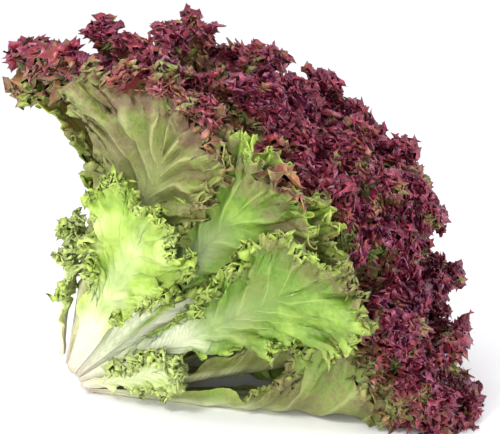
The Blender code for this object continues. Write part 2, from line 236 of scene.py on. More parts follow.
def make_leaves():
    """The plans of all the leaves, from the oldest to the heart."""
    chance = np.random.default_rng(SEED)
    leaves = []
    for number, row in enumerate(BASE_LEAVES):
        leaves.append(make_leaf(f"base_leaf_{number + 1}", *row, chance))
    for number, row in enumerate(OUTER_LEAVES):
        leaves.append(make_leaf(f"outer_leaf_{number + 1}", *row, chance))
    for ring, (layer, start) in enumerate(RINGS):
        for number in range(RING_LEAVES):
            name = f"middle_leaf_{ring * RING_LEAVES + number + 1}"
            azimuth = (start + 360 / RING_LEAVES * number) % 360
            length = chance.uniform(*RING_LENGTHS)
            row = (azimuth, layer, length, RING_STALK, RING_HALF_WIDTH, WIDENING_AT, RING_COLUMNS)
            leaves.append(make_leaf(name, *row, chance))
    for number in range(HEART_LEAVES):
        azimuth = (HEART_AZIMUTH + number * GOLDEN_ANGLE) % 360
        layer = HEART_LAYER - number * HEART_STEP
        half_width = HEART_HALF_WIDTH + number * HEART_WIDENING
        length = chance.uniform(*HEART_LENGTHS)
        row = (azimuth, layer, length, HEART_STALK, half_width, WIDENING_AT, HEART_COLUMNS)
        leaves.append(make_leaf(f"heart_leaf_{number + 1}", *row, chance))
    return leaves


LEAVES = make_leaves()
print(len(LEAVES), "leaves planned")

# %% [markdown]
# ## What differs from leaf to leaf
#
# Old leaves are green to their edge, and the ones that had the most light are red far down. In
# the photo each outer leaf has its own green, its own red and its own ridges, so those are listed
# leaf by leaf. The leaves inside are alike, and take the values of their kind.

# %% Red, green, ribs and ridges
# The share of the head's radius where each leaf turns red. The youngest blades redden lower.
RED_START = {
    "outer_leaf_1": 0.80,
    "outer_leaf_2": 0.92,
    "outer_leaf_3": 0.75,
    "outer_leaf_4": 1.00,
    "outer_leaf_5": 1.05,
    "outer_leaf_10": 1.00,
}
RED_START_OF_KIND = {"base": 1.40, "outer": 0.74, "middle": 0.76, "heart": 0.76}

# How green each blade is: 0 pale yellow-green, 0.5 fresh green, 1 dull olive
HUE = {
    "base_leaf_1": 0.10,
    "base_leaf_2": 0.26,
    "base_leaf_3": 0.05,
    "outer_leaf_1": 0.74,
    "outer_leaf_2": 0.82,
    "outer_leaf_3": 0.86,
    "outer_leaf_4": 0.54,
    "outer_leaf_5": 0.53,
    "outer_leaf_10": 0.45,
}
HUE_OF_KIND = {"base": 0.2, "outer": 0.6, "middle": 0.8, "heart": 0.8}

# How strongly a leaf's rib shows, where it isn't plain to see
RIB_SHOWS = {"base_leaf_2": 0.25, "base_leaf_3": 0.5, "outer_leaf_5": 0.25, "outer_leaf_4": 0.7}

# How many ridges run to each side on a leaf's back, and their height
RIDGES_OF = {
    "outer_leaf_1": (7.0, 0.0030),
    "outer_leaf_2": (10.0, 0.0054),
    "outer_leaf_3": (8.0, 0.0040),
    "outer_leaf_4": (7.0, 0.0026),
    "outer_leaf_10": (7.0, 0.0024),
}
RIDGES = (9.0, 0.0016)

# Over what share of the head's radius a stalk's white fades into the blade
STALK_RUN_OF = {"outer_leaf_10": 0.28, "base_leaf_2": 0.12}
STALK_RUN = 0.15

# Leaves whose blades are crumpled all over
CRUMPLED = ("base_leaf_1", "base_leaf_2", "base_leaf_3", "outer_leaf_5")

# Leaves whose edges have no curls
UNCURLED = ("base_leaf_4", "outer_leaf_10")

for leaf in LEAVES:
    leaf["kind"] = leaf["name"].split("_")[0]
    leaf["red_start"] = RED_START.get(leaf["name"], RED_START_OF_KIND[leaf["kind"]])
print("leaves that turn red before their tip:", sum(leaf["red_start"] < 1 for leaf in LEAVES))

# %% [markdown]
# ## The outline of a leaf
#
# A lettuce leaf is a stalk that widens into a blade. Its outline is a half width at each share of
# its length, so one short rule makes the narrow old leaves and the wide young ones. Old leaves
# start at the cut, and younger ones higher up on the stem.

# %% Half width, radius and edge
STALK_WEIGHT = 0.40
OUTLINE_SAMPLES = 160


def half_width_at(leaf, share):
    """Half width of a leaf, in degrees of azimuth, at a share of its length."""
    widest_at = leaf["widening"] + WIDENING_RUN
    below = smooth((share - leaf["widening"]) / WIDENING_RUN)
    past = np.clip((share - widest_at) / (1 - widest_at), 0, 1)
    wide = leaf["half_width"]
    rising = leaf["stalk"] + (wide - leaf["stalk"]) * below
    return np.where(share < widest_at, rising, wide * np.sqrt(np.maximum(1 - past**3, 0)))


def radius_at(leaf, share, azimuth):
    """Radius at a share of a leaf's length. Old leaves start at the cut, others on the stem."""
    layer = leaf["layer"]
    fall = (STEM_LAYER_AT_CUT - layer + LEAF_CLEARANCE) / (STEM_LAYER_AT_CUT - STEM_LAYER_AT_END)
    on_stem = STEM_START + fall * (STEM_END - STEM_START)
    angle = opening_angle(layer, azimuth, np.full_like(azimuth, STEM_START))
    start = np.maximum(on_stem, CUT_DISTANCE / np.cos(angle))
    return start + share * (leaf["length"] - start)


def edge_at(leaf, up):
    """Length share and half width of a leaf's edge, going up from its base (0) to its tip (1)."""
    share = 1 - (1 - np.linspace(0, 1, OUTLINE_SAMPLES)) ** 2
    width = half_width_at(leaf, share)
    azimuth = np.radians(leaf["azimuth"] + width)
    points = place(np.full_like(azimuth, leaf["layer"]), azimuth, radius_at(leaf, share, azimuth))
    steps = np.linalg.norm(np.diff(points, axis=0), axis=1)
    widest_at = leaf["widening"] + WIDENING_RUN
    weight = STALK_WEIGHT + (1 - STALK_WEIGHT) * smooth(share[1:] / widest_at)
    run = np.concatenate([[0], np.cumsum(steps * weight)])
    run /= run[-1]
    return np.interp(up, run, share), np.interp(up, run, width)


print("each outline is worked out at", OUTLINE_SAMPLES, "places")

# %% [markdown]
# ## The folds of a leaf
#
# A leaf's edge grows faster than its middle, so it has to fold. The folds here are three nested
# waves. Each one swings no further than half of the room to the next leaf, which is what keeps a
# real head's leaves lying in one another.

# %% Room and waves
RIB_END = 0.80
BLADE = 0.0009
MOST_FOLD = 1.6
GAP = 0.0004
WAVE_VARIATION = 0.18
VARIATION_RATE = 1.31
FRILL_MOST = 0.0105
FRILL_SHARE = 0.065
FRILL_ROOT = 0.28
FRILL_POWER = 1.3
FRILL_LEAD = 0.14
FRILL_RUN = 0.24
ROOM_MOST = 0.026
EDGE_SOFTNESS = 14.0
TIP_MARGIN = 1.06
TIP_SOFTNESS = 0.2
TOOTH = 0.0032


def room_beside(leaf, azimuth, radius):
    """How far, in layers, the next leaf outside and the next one inside are at a place."""
    outside = np.full_like(azimuth, 1.0)
    inside = np.full_like(azimuth, leaf["layer"])
    for other in LEAVES:
        gap = other["layer"] - leaf["layer"]
        if gap == 0:
            continue
        apart = np.abs((np.degrees(azimuth) - other["azimuth"] + 180) % 360 - 180)
        share = radius / other["length"]
        width = np.maximum(half_width_at(other, np.minimum(share / TIP_MARGIN, 1)), other["stalk"])
        sideways = smooth((apart - width) / EDGE_SOFTNESS)
        ahead = smooth((share - TIP_MARGIN) / TIP_SOFTNESS)
        room = abs(gap) + np.maximum(sideways, ahead)
        if gap > 0:
            outside = np.minimum(outside, room)
        else:
            inside = np.minimum(inside, room)
    return outside, inside


def wave_at(leaf, place_on_edge):
    """The frill's height, from -1 to 1, at a place counted in columns from the tip."""
    height = np.zeros_like(place_on_edge)
    for (period, share), shift in zip(WAVES, leaf["shifts"]):
        height += share * np.cos(2 * math.pi * (place_on_edge + shift) / period)
    vary = np.sin(VARIATION_RATE * place_on_edge + leaf["phase"][0])
    return height * (1 - WAVE_VARIATION + WAVE_VARIATION * vary)


def blade_points(leaf, column, across):
    """Middle surface of a leaf. column goes from -1, a base corner, over 0, the tip, to 1."""
    side = np.sign(column)
    up = 1 - np.abs(column)
    edge_share, edge_width = edge_at(leaf, up)
    rib_share = RIB_END * (up + edge_share) / 2
    length_share = rib_share + (edge_share - rib_share) * across
    azimuth = np.radians(leaf["azimuth"] + side * edge_width * across)
    radius = radius_at(leaf, length_share, azimuth)
    layer = np.full_like(azimuth, leaf["layer"])
    depth = layer_depth(layer, azimuth, radius)
    outside, inside = room_beside(leaf, azimuth, radius)
    clear = GAP + BLADE / 2 * MOST_FOLD
    most = min(FRILL_MOST, FRILL_SHARE * leaf["length"])
    most_out = np.clip(np.minimum(outside * depth, ROOM_MOST) / 2 - clear, 0, most)
    most_in = np.clip(np.minimum(inside * depth, ROOM_MOST) / 2 - clear, 0, most)
    grown = np.clip((across - FRILL_ROOT) / (1 - FRILL_ROOT), 0, 1) ** FRILL_POWER
    grown = grown * smooth((length_share - leaf["widening"] + FRILL_LEAD) / FRILL_RUN)
    wave = wave_at(leaf, column * leaf["columns"])
    middle = (most_out - most_in) / 2
    swing = (most_out + most_in) / 2
    layer = layer + grown * (middle + wave * swing) / depth
    tooth = np.cos(math.pi / 2 * column * leaf["columns"] + leaf["phase"][1])
    radius = radius + TOOTH * tooth * grown**2
    return place(layer, azimuth, radius)


print("a leaf's frill swings up to", FRILL_MOST * 1000, "mm to each side")

# %% [markdown]
# ## The rib
#
# The rib is thickest at the stalk and thins towards the tip. It stands out of the leaf's back, as
# far as half of the room there, so it never reaches the leaf outside it.

# %% How wide and how high the rib is
RIB_SLOPE = 0.10
RIB_MOST = 0.0040
RIB_TAPER = 0.92
RIB_PER_DEGREE = 0.00073
RIB_TIP_HALF_WIDTH = 0.0016
RIB_LEAST_SHARE = 0.06
RIB_MOST_SHARE = 0.60
RIB_LEAN = 9.0
RIB_NARROWING = 1.2


def rib_edge(leaf, column):
    """How far across the leaf its midrib reaches, on the way out to a column's edge point."""
    up = 1 - np.abs(column)
    edge_share, edge_width = edge_at(leaf, up)
    azimuth = np.full_like(up, math.radians(leaf["azimuth"]))
    radius = radius_at(leaf, RIB_END * (up + edge_share) / 2, azimuth)
    angle = opening_angle(np.full_like(up, leaf["layer"]), azimuth, radius)
    reach = np.maximum(np.radians(edge_width) * radius * np.sin(angle), 1e-4)
    widest = RIB_PER_DEGREE * leaf["stalk"]
    half = RIB_TIP_HALF_WIDTH + (widest - RIB_TIP_HALF_WIDTH) * (1 - up) ** RIB_NARROWING
    return np.clip(half / reach, RIB_LEAST_SHARE, RIB_MOST_SHARE)


def rib_height(leaf, column):
    """How far the midrib stands out of the leaf's back, within half of the room there."""
    up = 1 - np.abs(column)
    edge_share, _ = edge_at(leaf, up)
    azimuth = np.full_like(up, math.radians(leaf["azimuth"]))
    radius = radius_at(leaf, RIB_END * (up + edge_share) / 2, azimuth)
    depth = layer_depth(np.full_like(up, leaf["layer"]), azimuth, radius)
    beside = [azimuth + lean * math.radians(RIB_LEAN) for lean in (-1, 0, 1)]
    outside = np.min([room_beside(leaf, turned, radius)[0] for turned in beside], axis=0)
    room = np.maximum(outside * depth / 2 - BLADE / 2 - GAP, 0)
    wanted = np.minimum(RIB_SLOPE * radius, RIB_MOST) * (1 - RIB_TAPER * up)
    return np.minimum(wanted, room)


print("a rib stands out up to", RIB_MOST * 1000, "mm")

# %% [markdown]
# ## From the surface to a mesh
#
# Near its edge a leaf needs a point every millimetre, and along its rib one every few
# millimetres will do. A subdivided plane would spend its faces evenly. Here the rows double
# their points on the way out, joined by a strip of triangles, so the faces go where the frill is.
# Each point also keeps what later steps need: how far across it is, how far along the edge it
# lies in true metres, which way the edge runs there, and how thick the leaf is.

# %% Rows and strips of triangles
OUTWARD_STEP = 0.96
RIB_FADE = 0.26

# The rib's height at its own edge, as a share of its crest's, and where it has gone
RIB_SHOULDER = 0.3
SHOULDER_RUN = 0.15

# Rows over the rib, and from its edge to the leaf's edge, each with how many of the edge's
# columns go into one
RIB_ROWS = ((0.0, 8), (0.35, 8), (0.7, 8), (1.0, 8))
BLADE_ROWS = (
    (0.07, 8), (0.15, 8), (0.24, 8), (0.33, 8), (0.42, 4), (0.50, 4), (0.58, 4), (0.65, 4),
    (0.71, 2), (0.77, 2), (0.82, 2), (0.86, 2), (0.895, 1), (0.925, 1), (0.95, 1), (0.97, 1),
    (0.985, 1), (1.0, 1),
)


def strip(low, high):
    """Triangles between two rows of vertices, the second some whole number of times as fine."""
    step = (len(high) - 1) // (len(low) - 1)
    faces = []
    for k in range(len(low) - 1):
        first, second = low[k], low[k + 1]
        run = high[k * step : (k + 1) * step + 1]
        middle = len(run) // 2
        for j in range(len(run) - 1):
            faces.append((first if j < middle else second, run[j + 1], run[j]))
        faces.append((first, second, run[middle]))
    return [face for face in faces if len(set(face)) == 3]


def unit(vectors):
    """Vectors of the same directions, a unit long."""
    return vectors / np.maximum(np.linalg.norm(vectors, axis=-1, keepdims=True), 1e-12)


def leaf_sheet(leaf, fine):
    """The leaf's middle surface with fine columns to each side of its tip, and stored values."""
    edge_column = np.linspace(-1, 1, 2 * fine + 1)
    edge = blade_points(leaf, edge_column, np.ones_like(edge_column))
    edge_run = np.concatenate([[0], np.cumsum(np.linalg.norm(np.diff(edge, axis=0), axis=1))])
    rows, found = [], []
    count = 0
    for on_rib, plan in ((True, RIB_ROWS), (False, BLADE_ROWS)):
        for share, merged in plan:
            column = np.linspace(-1, 1, 2 * (fine // merged) + 1)
            if on_rib and share == 0:
                column = column[: fine // merged + 1]
            rib = rib_edge(leaf, column)
            if on_rib:
                across = rib * share
                profile = 1 - (1 - RIB_SHOULDER) * share**2
            else:
                across = rib + (1 - rib) * share
                profile = RIB_SHOULDER * max(1 - share / SHOULDER_RUN, 0)
            point = blade_points(leaf, column, across)
            inner = blade_points(leaf, column, across * OUTWARD_STEP)
            whiteness = 1.0 if on_rib else max(1 - share / RIB_FADE, 0)
            found.append({
                "point": point,
                "across": across,
                "along": np.interp(column, edge_column, edge_run),
                "column": column,
                "run": unit(np.gradient(point, axis=0)),
                "out": unit(point - inner),
                "rise": profile * rib_height(leaf, column),
                "rib": np.full_like(column, whiteness),
            })
            row = list(range(count, count + len(column)))
            count += len(column)
            rows.append(row + row[-2::-1] if on_rib and share == 0 else row)
    stored = {title: np.concatenate([row[title] for row in found]) for title in found[0]}
    faces = np.array([face for low, high in zip(rows, rows[1:]) for face in strip(low, high)])
    return stored, faces


print("rows from rib to edge:", len(RIB_ROWS) + len(BLADE_ROWS))

# %% [markdown]
# ### What a point keeps
#
# The finish could be painted on each leaf, but the frill's folds would hide half of the strokes.
# Here each point keeps how red, how pale and how near the edge it is, and the materials and the
# node trees read that. Names in the two lists below are the attributes on the finished meshes.

# %% Stored values
LEAF_THICKNESS = 0.0006
THICKEST = 0.0050
# Sheets keep a low tone, so their frill takes more of the painted shade than most curls do
SHEET_TONE = 0.15

# Red comes in over this share of the head's radius, and sooner at a leaf's edge
RED_RUN = 0.16
RED_AT_EDGE = 0.12
RED_EDGE_FROM = 0.7

# The part of a leaf that is frill: how deep it is, how softly it starts, and how red it must be
FRILL_DEPTH = {"base": 0.0, "outer": 0.34, "middle": 0.20, "heart": 0.15}
FRILL_FADE = 0.06
FRILL_FROM_RED = 2.0

# A crumpled leaf has a little frill along its margin
MARGIN_FROM = 0.92
MARGIN_RUN = 0.06
MARGIN_FRILL = 0.36

# Where along a leaf its blade starts to ruffle
RUFFLES_FROM = 0.40
RUFFLES_RUN = 0.26

# Ridges and veins swing a little on their way out, and aren't evenly spaced
VEIN_SWING = 0.022
VEIN_SWING_RATE = 5.0
VEIN_SHIFT = 0.016
VEIN_SHIFT_RATE = 13.0
VEIN_SHIFT_LEAN = 3.0

NUMBERS = ("across", "along", "column", "ridges", "reach", "red", "frill", "rim", "tone", "hue")
NUMBERS += ("rib", "stalk", "blade")
DIRECTIONS = ("run", "out")


def store_values(leaf, stored, points):
    """Adds what the finish, the ruffles and the curls read at each point of a leaf."""
    name, kind, across = leaf["name"], leaf["kind"], stored["across"]
    reach = np.linalg.norm(points, axis=1) / HEAD_RADIUS
    lead = RED_AT_EDGE * (across - RED_EDGE_FROM)
    stored["reach"] = reach
    stored["red"] = (reach + lead - leaf["red_start"]) / RED_RUN
    near_end = (reach + lead - leaf["length"] / HEAD_RADIUS + FRILL_DEPTH[kind]) / FRILL_FADE
    stored["frill"] = np.minimum(smooth(near_end), smooth(stored["red"] * FRILL_FROM_RED))
    share = reach * HEAD_RADIUS / leaf["length"]
    stored["blade"] = smooth((share - RUFFLES_FROM) / RUFFLES_RUN)
    if name in CRUMPLED:
        margin = smooth((across - MARGIN_FROM) / MARGIN_RUN) * stored["blade"] * MARGIN_FRILL
        stored["frill"] = np.maximum(stored["frill"], margin)
    stored["rim"] = across
    stored["tone"] = np.full_like(reach, SHEET_TONE)
    stored["hue"] = np.full_like(reach, HUE.get(name, HUE_OF_KIND[kind]))
    blade_start = leaf["widening"] * leaf["length"] / HEAD_RADIUS
    stored["stalk"] = 1 - smooth((reach - blade_start) / STALK_RUN_OF.get(name, STALK_RUN))
    stored["rib"] = stored["rib"] * RIB_SHOWS.get(name, 1.0)
    stored["ridges"] = np.full_like(reach, RIDGES_OF.get(name, RIDGES)[0])
    swing = VEIN_SWING * np.sin(VEIN_SWING_RATE * across + leaf["phase"][0])
    turn = VEIN_SHIFT_RATE * stored["column"] + VEIN_SHIFT_LEAN * across + leaf["phase"][1]
    stored["column"] = stored["column"] + swing + VEIN_SHIFT * np.sin(turn)


print("numbers kept at each point:", ", ".join(NUMBERS))

# %% The sheet as a Blender mesh
CAD_LOW = np.array(FRAME_BOX[0])
CAD_HIGH = np.array(FRAME_BOX[1])

# Where the apex is in the frame
APEX = np.array([-0.0916, -0.0071, 0.0])


def flat_normals(points, faces):
    """Normals of the triangles, as long as twice their area."""
    first, second, third = (points[faces[:, k]] for k in range(3))
    return np.cross(second - first, third - first)


def point_normals(points, faces):
    """Unit normals of a sheet, towards the leaf's back."""
    flat = flat_normals(points, faces)
    normals = np.zeros_like(points)
    for k in range(3):
        np.add.at(normals, faces[:, k], flat)
    normals = unit(normals)
    outward = points - AXIS * (points @ AXIS)[:, None]
    return normals * (1 if np.sum(normals * outward) > 0 else -1)


def sheet_object(leaf, fine):
    """A Blender mesh of a leaf's middle surface, with its stored values as attributes."""
    stored, faces = leaf_sheet(leaf, fine)
    points = stored["point"]
    normals = point_normals(points, faces)
    stored["rise"] = stored["rise"] * RIB_SHOWS.get(leaf["name"], 1.0)
    points = points + normals * (stored["rise"] / 2)[:, None]
    store_values(leaf, stored, points)
    mesh = bpy.data.meshes.new(leaf["name"])
    mesh.from_pydata((points + APEX).tolist(), [], faces.tolist())
    if np.sum(flat_normals(points, faces) * normals[faces[:, 0]]) < 0:
        mesh.flip_normals()
    for name in NUMBERS:
        mesh.attributes.new(name, "FLOAT", "POINT").data.foreach_set("value", stored[name])
    for name in DIRECTIONS:
        held = mesh.attributes.new(name, "FLOAT_VECTOR", "POINT")
        held.data.foreach_set("vector", stored[name].ravel())
    made = bpy.data.objects.new("sheet_" + leaf["name"], mesh)
    bpy.context.scene.collection.objects.link(made)
    thick = made.vertex_groups.new(name="thick")
    share = ((LEAF_THICKNESS + stored["rise"]) / THICKEST).round(3)
    for weight in np.unique(share):
        chosen = np.flatnonzero(share == weight)
        thick.add(chosen.tolist(), float(min(weight, 1)), "REPLACE")
    return made


print("the apex is at", APEX, "in the frame")

# %% [markdown]
# ## Writing node trees as sums
#
# Both the ruffles and the finishes are node trees. Linking Math nodes one by one is hard to read,
# so a small class wraps a socket and turns Python's operators into Math nodes. Every other node
# comes from one method, which takes its type, its settings and what goes into its sockets.

# %% A socket that can be added and multiplied


class Value:
    """A socket of a node tree. Sums and products of values add Math nodes to the tree."""

    def __init__(self, nodes, socket):
        self.nodes = nodes
        self.socket = socket

    def maths(self, operation, *others):
        """One Math node on this value and others."""
        inputs = dict(enumerate((self, *others)))
        return self.nodes.add("ShaderNodeMath", {"operation": operation}, inputs)

    def __add__(self, other):
        return self.maths("ADD", other)

    def __radd__(self, other):
        return self.maths("ADD", other)

    def __sub__(self, other):
        return self.maths("SUBTRACT", other)

    def __rsub__(self, other):
        return self.nodes.add("ShaderNodeMath", {"operation": "SUBTRACT"}, {0: other, 1: self})

    def __mul__(self, other):
        return self.maths("MULTIPLY", other)

    def __rmul__(self, other):
        return self.maths("MULTIPLY", other)

    def __truediv__(self, other):
        return self.maths("DIVIDE", other)

    def __rtruediv__(self, other):
        return self.nodes.add("ShaderNodeMath", {"operation": "DIVIDE"}, {0: other, 1: self})

    def __pow__(self, other):
        return self.maths("POWER", other)

    def clamped(self):
        """The value, kept between 0 and 1."""
        return self.nodes.add("ShaderNodeClamp", {}, {"Value": self})

    def beside(self, output):
        """Another output of the same node."""
        return Value(self.nodes, self.socket.node.outputs[output])

    def step(self, low, high):
        """A soft step from 0 at low to 1 at high."""
        settings = {"interpolation_type": "SMOOTHSTEP"}
        return self.nodes.add(
            "ShaderNodeMapRange", settings, {"Value": self, "From Min": low, "From Max": high}
        )


print("operators that a value knows:", "+ - * / **")

# %% A tree that nodes are added to


class Nodes:
    """A node tree that nodes are added to."""

    def __init__(self, tree):
        self.tree = tree

    def add(self, kind, settings, inputs, output=0):
        """One node of any type, with its settings, its inputs and the output that is wanted."""
        node = self.tree.nodes.new(kind)
        for name, value in settings.items():
            if name == "stops":
                self.fill_ramp(node, value)
            else:
                setattr(node, name, value)
        for name, value in inputs.items():
            if isinstance(value, Value):
                self.tree.links.new(value.socket, node.inputs[name])
            else:
                node.inputs[name].default_value = value
        return Value(self, node.outputs[output])

    def fill_ramp(self, node, stops):
        """Sets a ramp's stops, each a place and a colour."""
        ramp = node.color_ramp
        while len(ramp.elements) < len(stops):
            ramp.elements.new(1.0)
        for element, (place_on_ramp, colour) in zip(ramp.elements, stops):
            element.position = place_on_ramp
            element.color = (*colour, 1.0)

    def mix(self, share, first, second):
        """A colour between two others."""
        settings = {"data_type": "RGBA", "blend_type": "MIX"}
        return self.add("ShaderNodeMix", settings, {0: share, 6: first, 7: second}, output=2)

    def scaled(self, vector, length):
        """A vector made longer or shorter."""
        inputs = {0: vector, "Scale": length}
        return self.add("ShaderNodeVectorMath", {"operation": "SCALE"}, inputs)

    def summed(self, first, second):
        """The sum of two vectors."""
        return self.add("ShaderNodeVectorMath", {"operation": "ADD"}, {0: first, 1: second})


print("vector helpers:", Nodes.mix.__name__, Nodes.scaled.__name__, Nodes.summed.__name__)

# %% [markdown]
# ## Geometry trees
#
# What follows a rule along the leaf is left to Geometry Nodes, because a rule in a tree can be
# tried out in Blender by changing its inputs. Every tree here has the same ends: it takes a mesh
# and some named numbers, and gives a mesh back. A few helpers make those ends.

# %% Ends and common nodes of a geometry tree


def open_tree(name, inputs):
    """A new tree to add nodes to, and its inputs: a mesh, named numbers and a material."""
    tree = bpy.data.node_groups.new(name, "GeometryNodeTree")
    tree.interface.new_socket("Geometry", in_out="INPUT", socket_type="NodeSocketGeometry")
    for title in inputs:
        kind = "NodeSocketMaterial" if title == "Material" else "NodeSocketFloat"
        tree.interface.new_socket(title, in_out="INPUT", socket_type=kind)
    tree.interface.new_socket("Geometry", in_out="OUTPUT", socket_type="NodeSocketGeometry")
    nodes = Nodes(tree)
    entry = tree.nodes.new("NodeGroupInput")
    return nodes, {title: Value(nodes, entry.outputs[title]) for title in ("Geometry", *inputs)}


def close_tree(nodes, geometry):
    """Sends a geometry to the tree's output, and gives the tree."""
    leaving = nodes.tree.nodes.new("NodeGroupOutput")
    nodes.tree.links.new(geometry.socket, leaving.inputs["Geometry"])
    print(nodes.tree.name, "tree:", len(nodes.tree.nodes), "nodes")
    return nodes.tree


def moved(nodes, geometry, offset):
    """A geometry with its points moved."""
    inputs = {"Geometry": geometry, "Offset": offset}
    return nodes.add("GeometryNodeSetPosition", {}, inputs)


def lifted(nodes, geometry, height):
    """A geometry with its points moved along their normals."""
    normal = nodes.add("GeometryNodeInputNormal", {}, {})
    return moved(nodes, geometry, nodes.scaled(normal, height))


def named(nodes, name, data_type="FLOAT"):
    """A value that the mesh's points keep."""
    settings = {"data_type": data_type}
    return nodes.add("GeometryNodeInputNamedAttribute", settings, {"Name": name}, "Attribute")


def noise(nodes, x, y, z, detail=1.0):
    """Noise from 0 to 1 at three numbers."""
    where = nodes.add("ShaderNodeCombineXYZ", {}, {"X": x, "Y": y, "Z": z})
    inputs = {"Vector": where, "Scale": 1.0, "Detail": detail}
    return nodes.add("ShaderNodeTexNoise", {"noise_dimensions": "3D"}, inputs)


TREE_HELPERS = (open_tree, close_tree, moved, lifted, named, noise)
print("helpers for geometry trees:", [helper.__name__ for helper in TREE_HELPERS])

# %% [markdown]
# ## Ruffles
#
# The edge of a lollo leaf is wavy at every scale: big folds, smaller curls on them, and crinkles
# on those. One tree makes one size of wave, and it is used again for each smaller size. It moves
# points along the surface's normal, and also sideways along the edge twice as often, which makes
# the waves lean over and close up like a meander, as the real curls do.

# %% The ruffle tree
RUFFLE_INPUTS = ("Wave length", "Height", "Overhang", "Start", "Power", "Seed")

# How far the waves wander along the edge, in wave lengths, and how soon
WANDER = 2.2
WANDER_ALONG = 0.45
WANDER_ACROSS = 2.0

# How their height varies, as a share, and how soon
LEAST_WAVE = 0.1
WAVE_SPREAD = 1.8
HEIGHT_ALONG = 0.8
HEIGHT_ACROSS = 1.5
HEIGHT_SHIFT = 31.0


def ruffle_tree():
    """Waves of one size, which grow towards a leaf's edge and lean over."""
    nodes, given = open_tree("ruffle", RUFFLE_INPUTS)
    seed, across = given["Seed"], named(nodes, "across")
    turns = named(nodes, "along") / given["Wave length"]
    drift = noise(nodes, turns * WANDER_ALONG, across * WANDER_ACROSS, seed)
    vary = noise(nodes, turns * HEIGHT_ALONG + HEIGHT_SHIFT, across * HEIGHT_ACROSS, seed)
    phase = (turns + (drift - 0.5) * WANDER) * (2 * math.pi)
    grown = ((across - given["Start"]) / (1.0 - given["Start"])).clamped() ** given["Power"]
    grown = grown * named(nodes, "blade")
    lift = phase.maths("SINE") * given["Height"] * grown * (vary * WAVE_SPREAD + LEAST_WAVE)
    lean = (phase * 2.0).maths("SINE") * given["Overhang"] * given["Wave length"] * grown
    up = nodes.scaled(nodes.add("GeometryNodeInputNormal", {}, {}), lift)
    aside = nodes.scaled(named(nodes, "run", "FLOAT_VECTOR"), lean)
    return close_tree(nodes, moved(nodes, given["Geometry"], nodes.summed(up, aside)))


RUFFLE = ruffle_tree()

# %% [markdown]
# ## Crinkles
#
# The blade between the veins is blistered. A second small tree pushes points along the normal by
# noise, in proportion to a stored share, so that the rib and the stem end stay smooth.

# %% The crinkle tree
CRINKLE_INPUTS = ("Size", "Height", "Seed")
CRINKLE_ACROSS = (0.08, 0.45)
CRINKLE_REACH = (0.15, 0.45)


def crinkle_tree():
    """Blisters of one size on a leaf's blade."""
    nodes, given = open_tree("crinkle", CRINKLE_INPUTS)
    position = nodes.add("GeometryNodeInputPosition", {}, {})
    inputs = {"Vector": position, "W": given["Seed"], "Scale": 1.0 / given["Size"], "Detail": 2.0}
    bumps = nodes.add("ShaderNodeTexNoise", {"noise_dimensions": "4D"}, inputs)
    where = named(nodes, "across").step(*CRINKLE_ACROSS) * named(nodes, "reach").step(*CRINKLE_REACH)
    lift = (bumps - 0.5) * 2.0 * given["Height"] * where
    return close_tree(nodes, lifted(nodes, given["Geometry"], lift))


CRINKLE = crinkle_tree()

# %% [markdown]
# ## Side veins
#
# On the leaf's back the side veins stand out as ridges that run from the rib to the edge. They
# follow the stored column, so the colour of the veins can follow the same lines later.

# %% The pleat tree
PLEAT_INPUTS = ("Height",)
PLEAT_STARTS = (0.06, 0.22)
PLEAT_ENDS = (0.60, 0.95)
PLEAT_REACH = (0.20, 0.42)
PLEAT_FOOT = 0.3


def pleat_tree():
    """Ridges from the rib out, with the blade sunk a little between them."""
    nodes, given = open_tree("pleat", PLEAT_INPUTS)
    across = named(nodes, "across")
    turns = named(nodes, "column") * named(nodes, "ridges")
    ridge = 1.0 - turns.maths("PINGPONG", 0.5) * 2.0
    where = across.step(*PLEAT_STARTS) * (1.0 - across.step(*PLEAT_ENDS))
    where = where * named(nodes, "reach").step(*PLEAT_REACH)
    lift = (ridge**2.0 - PLEAT_FOOT) * given["Height"] * where
    return close_tree(nodes, lifted(nodes, given["Geometry"], lift))


PLEAT = pleat_tree()

# %% [markdown]
# ## Teeth
#
# The margin itself is cut into pointed teeth. This tree pushes the outermost rows of points out
# and in along the leaf, in a zigzag whose height varies from tooth to tooth.

# %% The teeth tree
TEETH_INPUTS = ("Spacing", "Length", "Start", "Seed")
TOOTH_ROOT = 0.4
TOOTH_POWER = 1.4
TOOTH_SPREAD = 1.6
LEAST_TOOTH = 0.2
TOOTH_NOISE_RATE = 0.9
TOOTH_NOISE_ROW = 3.0


def teeth_tree():
    """A zigzag margin."""
    nodes, given = open_tree("teeth", TEETH_INPUTS)
    spaces = named(nodes, "along") / given["Spacing"]
    vary = noise(nodes, spaces * TOOTH_NOISE_RATE, TOOTH_NOISE_ROW, given["Seed"], detail=0.0)
    point = (spaces + vary).maths("PINGPONG", 0.5) * 2.0
    grown = ((named(nodes, "across") - given["Start"]) / (1.0 - given["Start"])).clamped()
    grown = grown * named(nodes, "blade")
    push = (point**TOOTH_POWER - TOOTH_ROOT) * given["Length"]
    push = push * (vary * TOOTH_SPREAD + LEAST_TOOTH) * grown
    aside = nodes.scaled(named(nodes, "out", "FLOAT_VECTOR"), push)
    return close_tree(nodes, moved(nodes, given["Geometry"], aside))


TEETH = teeth_tree()

# %% [markdown]
# ## Curls
#
# Where a lollo leaf is red its edge branches again and again into small curled lobes, each a few
# millimetres across with a row of points. Folding one sheet that finely would take millions of
# faces. A few lobes are modelled instead, as little fans that roll and wave. Each is closed, as
# thin as a lens, so that it has no open edge from any side.

# %% A few curled lobes
LOBES = 6
LOBE_MIDDLE = 0.56
LOBE_MIDDLE_POINTS = 4
LOBE_RIM_POINTS = 10
LOBE_SPREAD = 82.0
LOBE_SPREAD_POWER = 0.3
LOBE_WIDTH = 0.9
LOBE_HALF_THICKNESS = 0.045

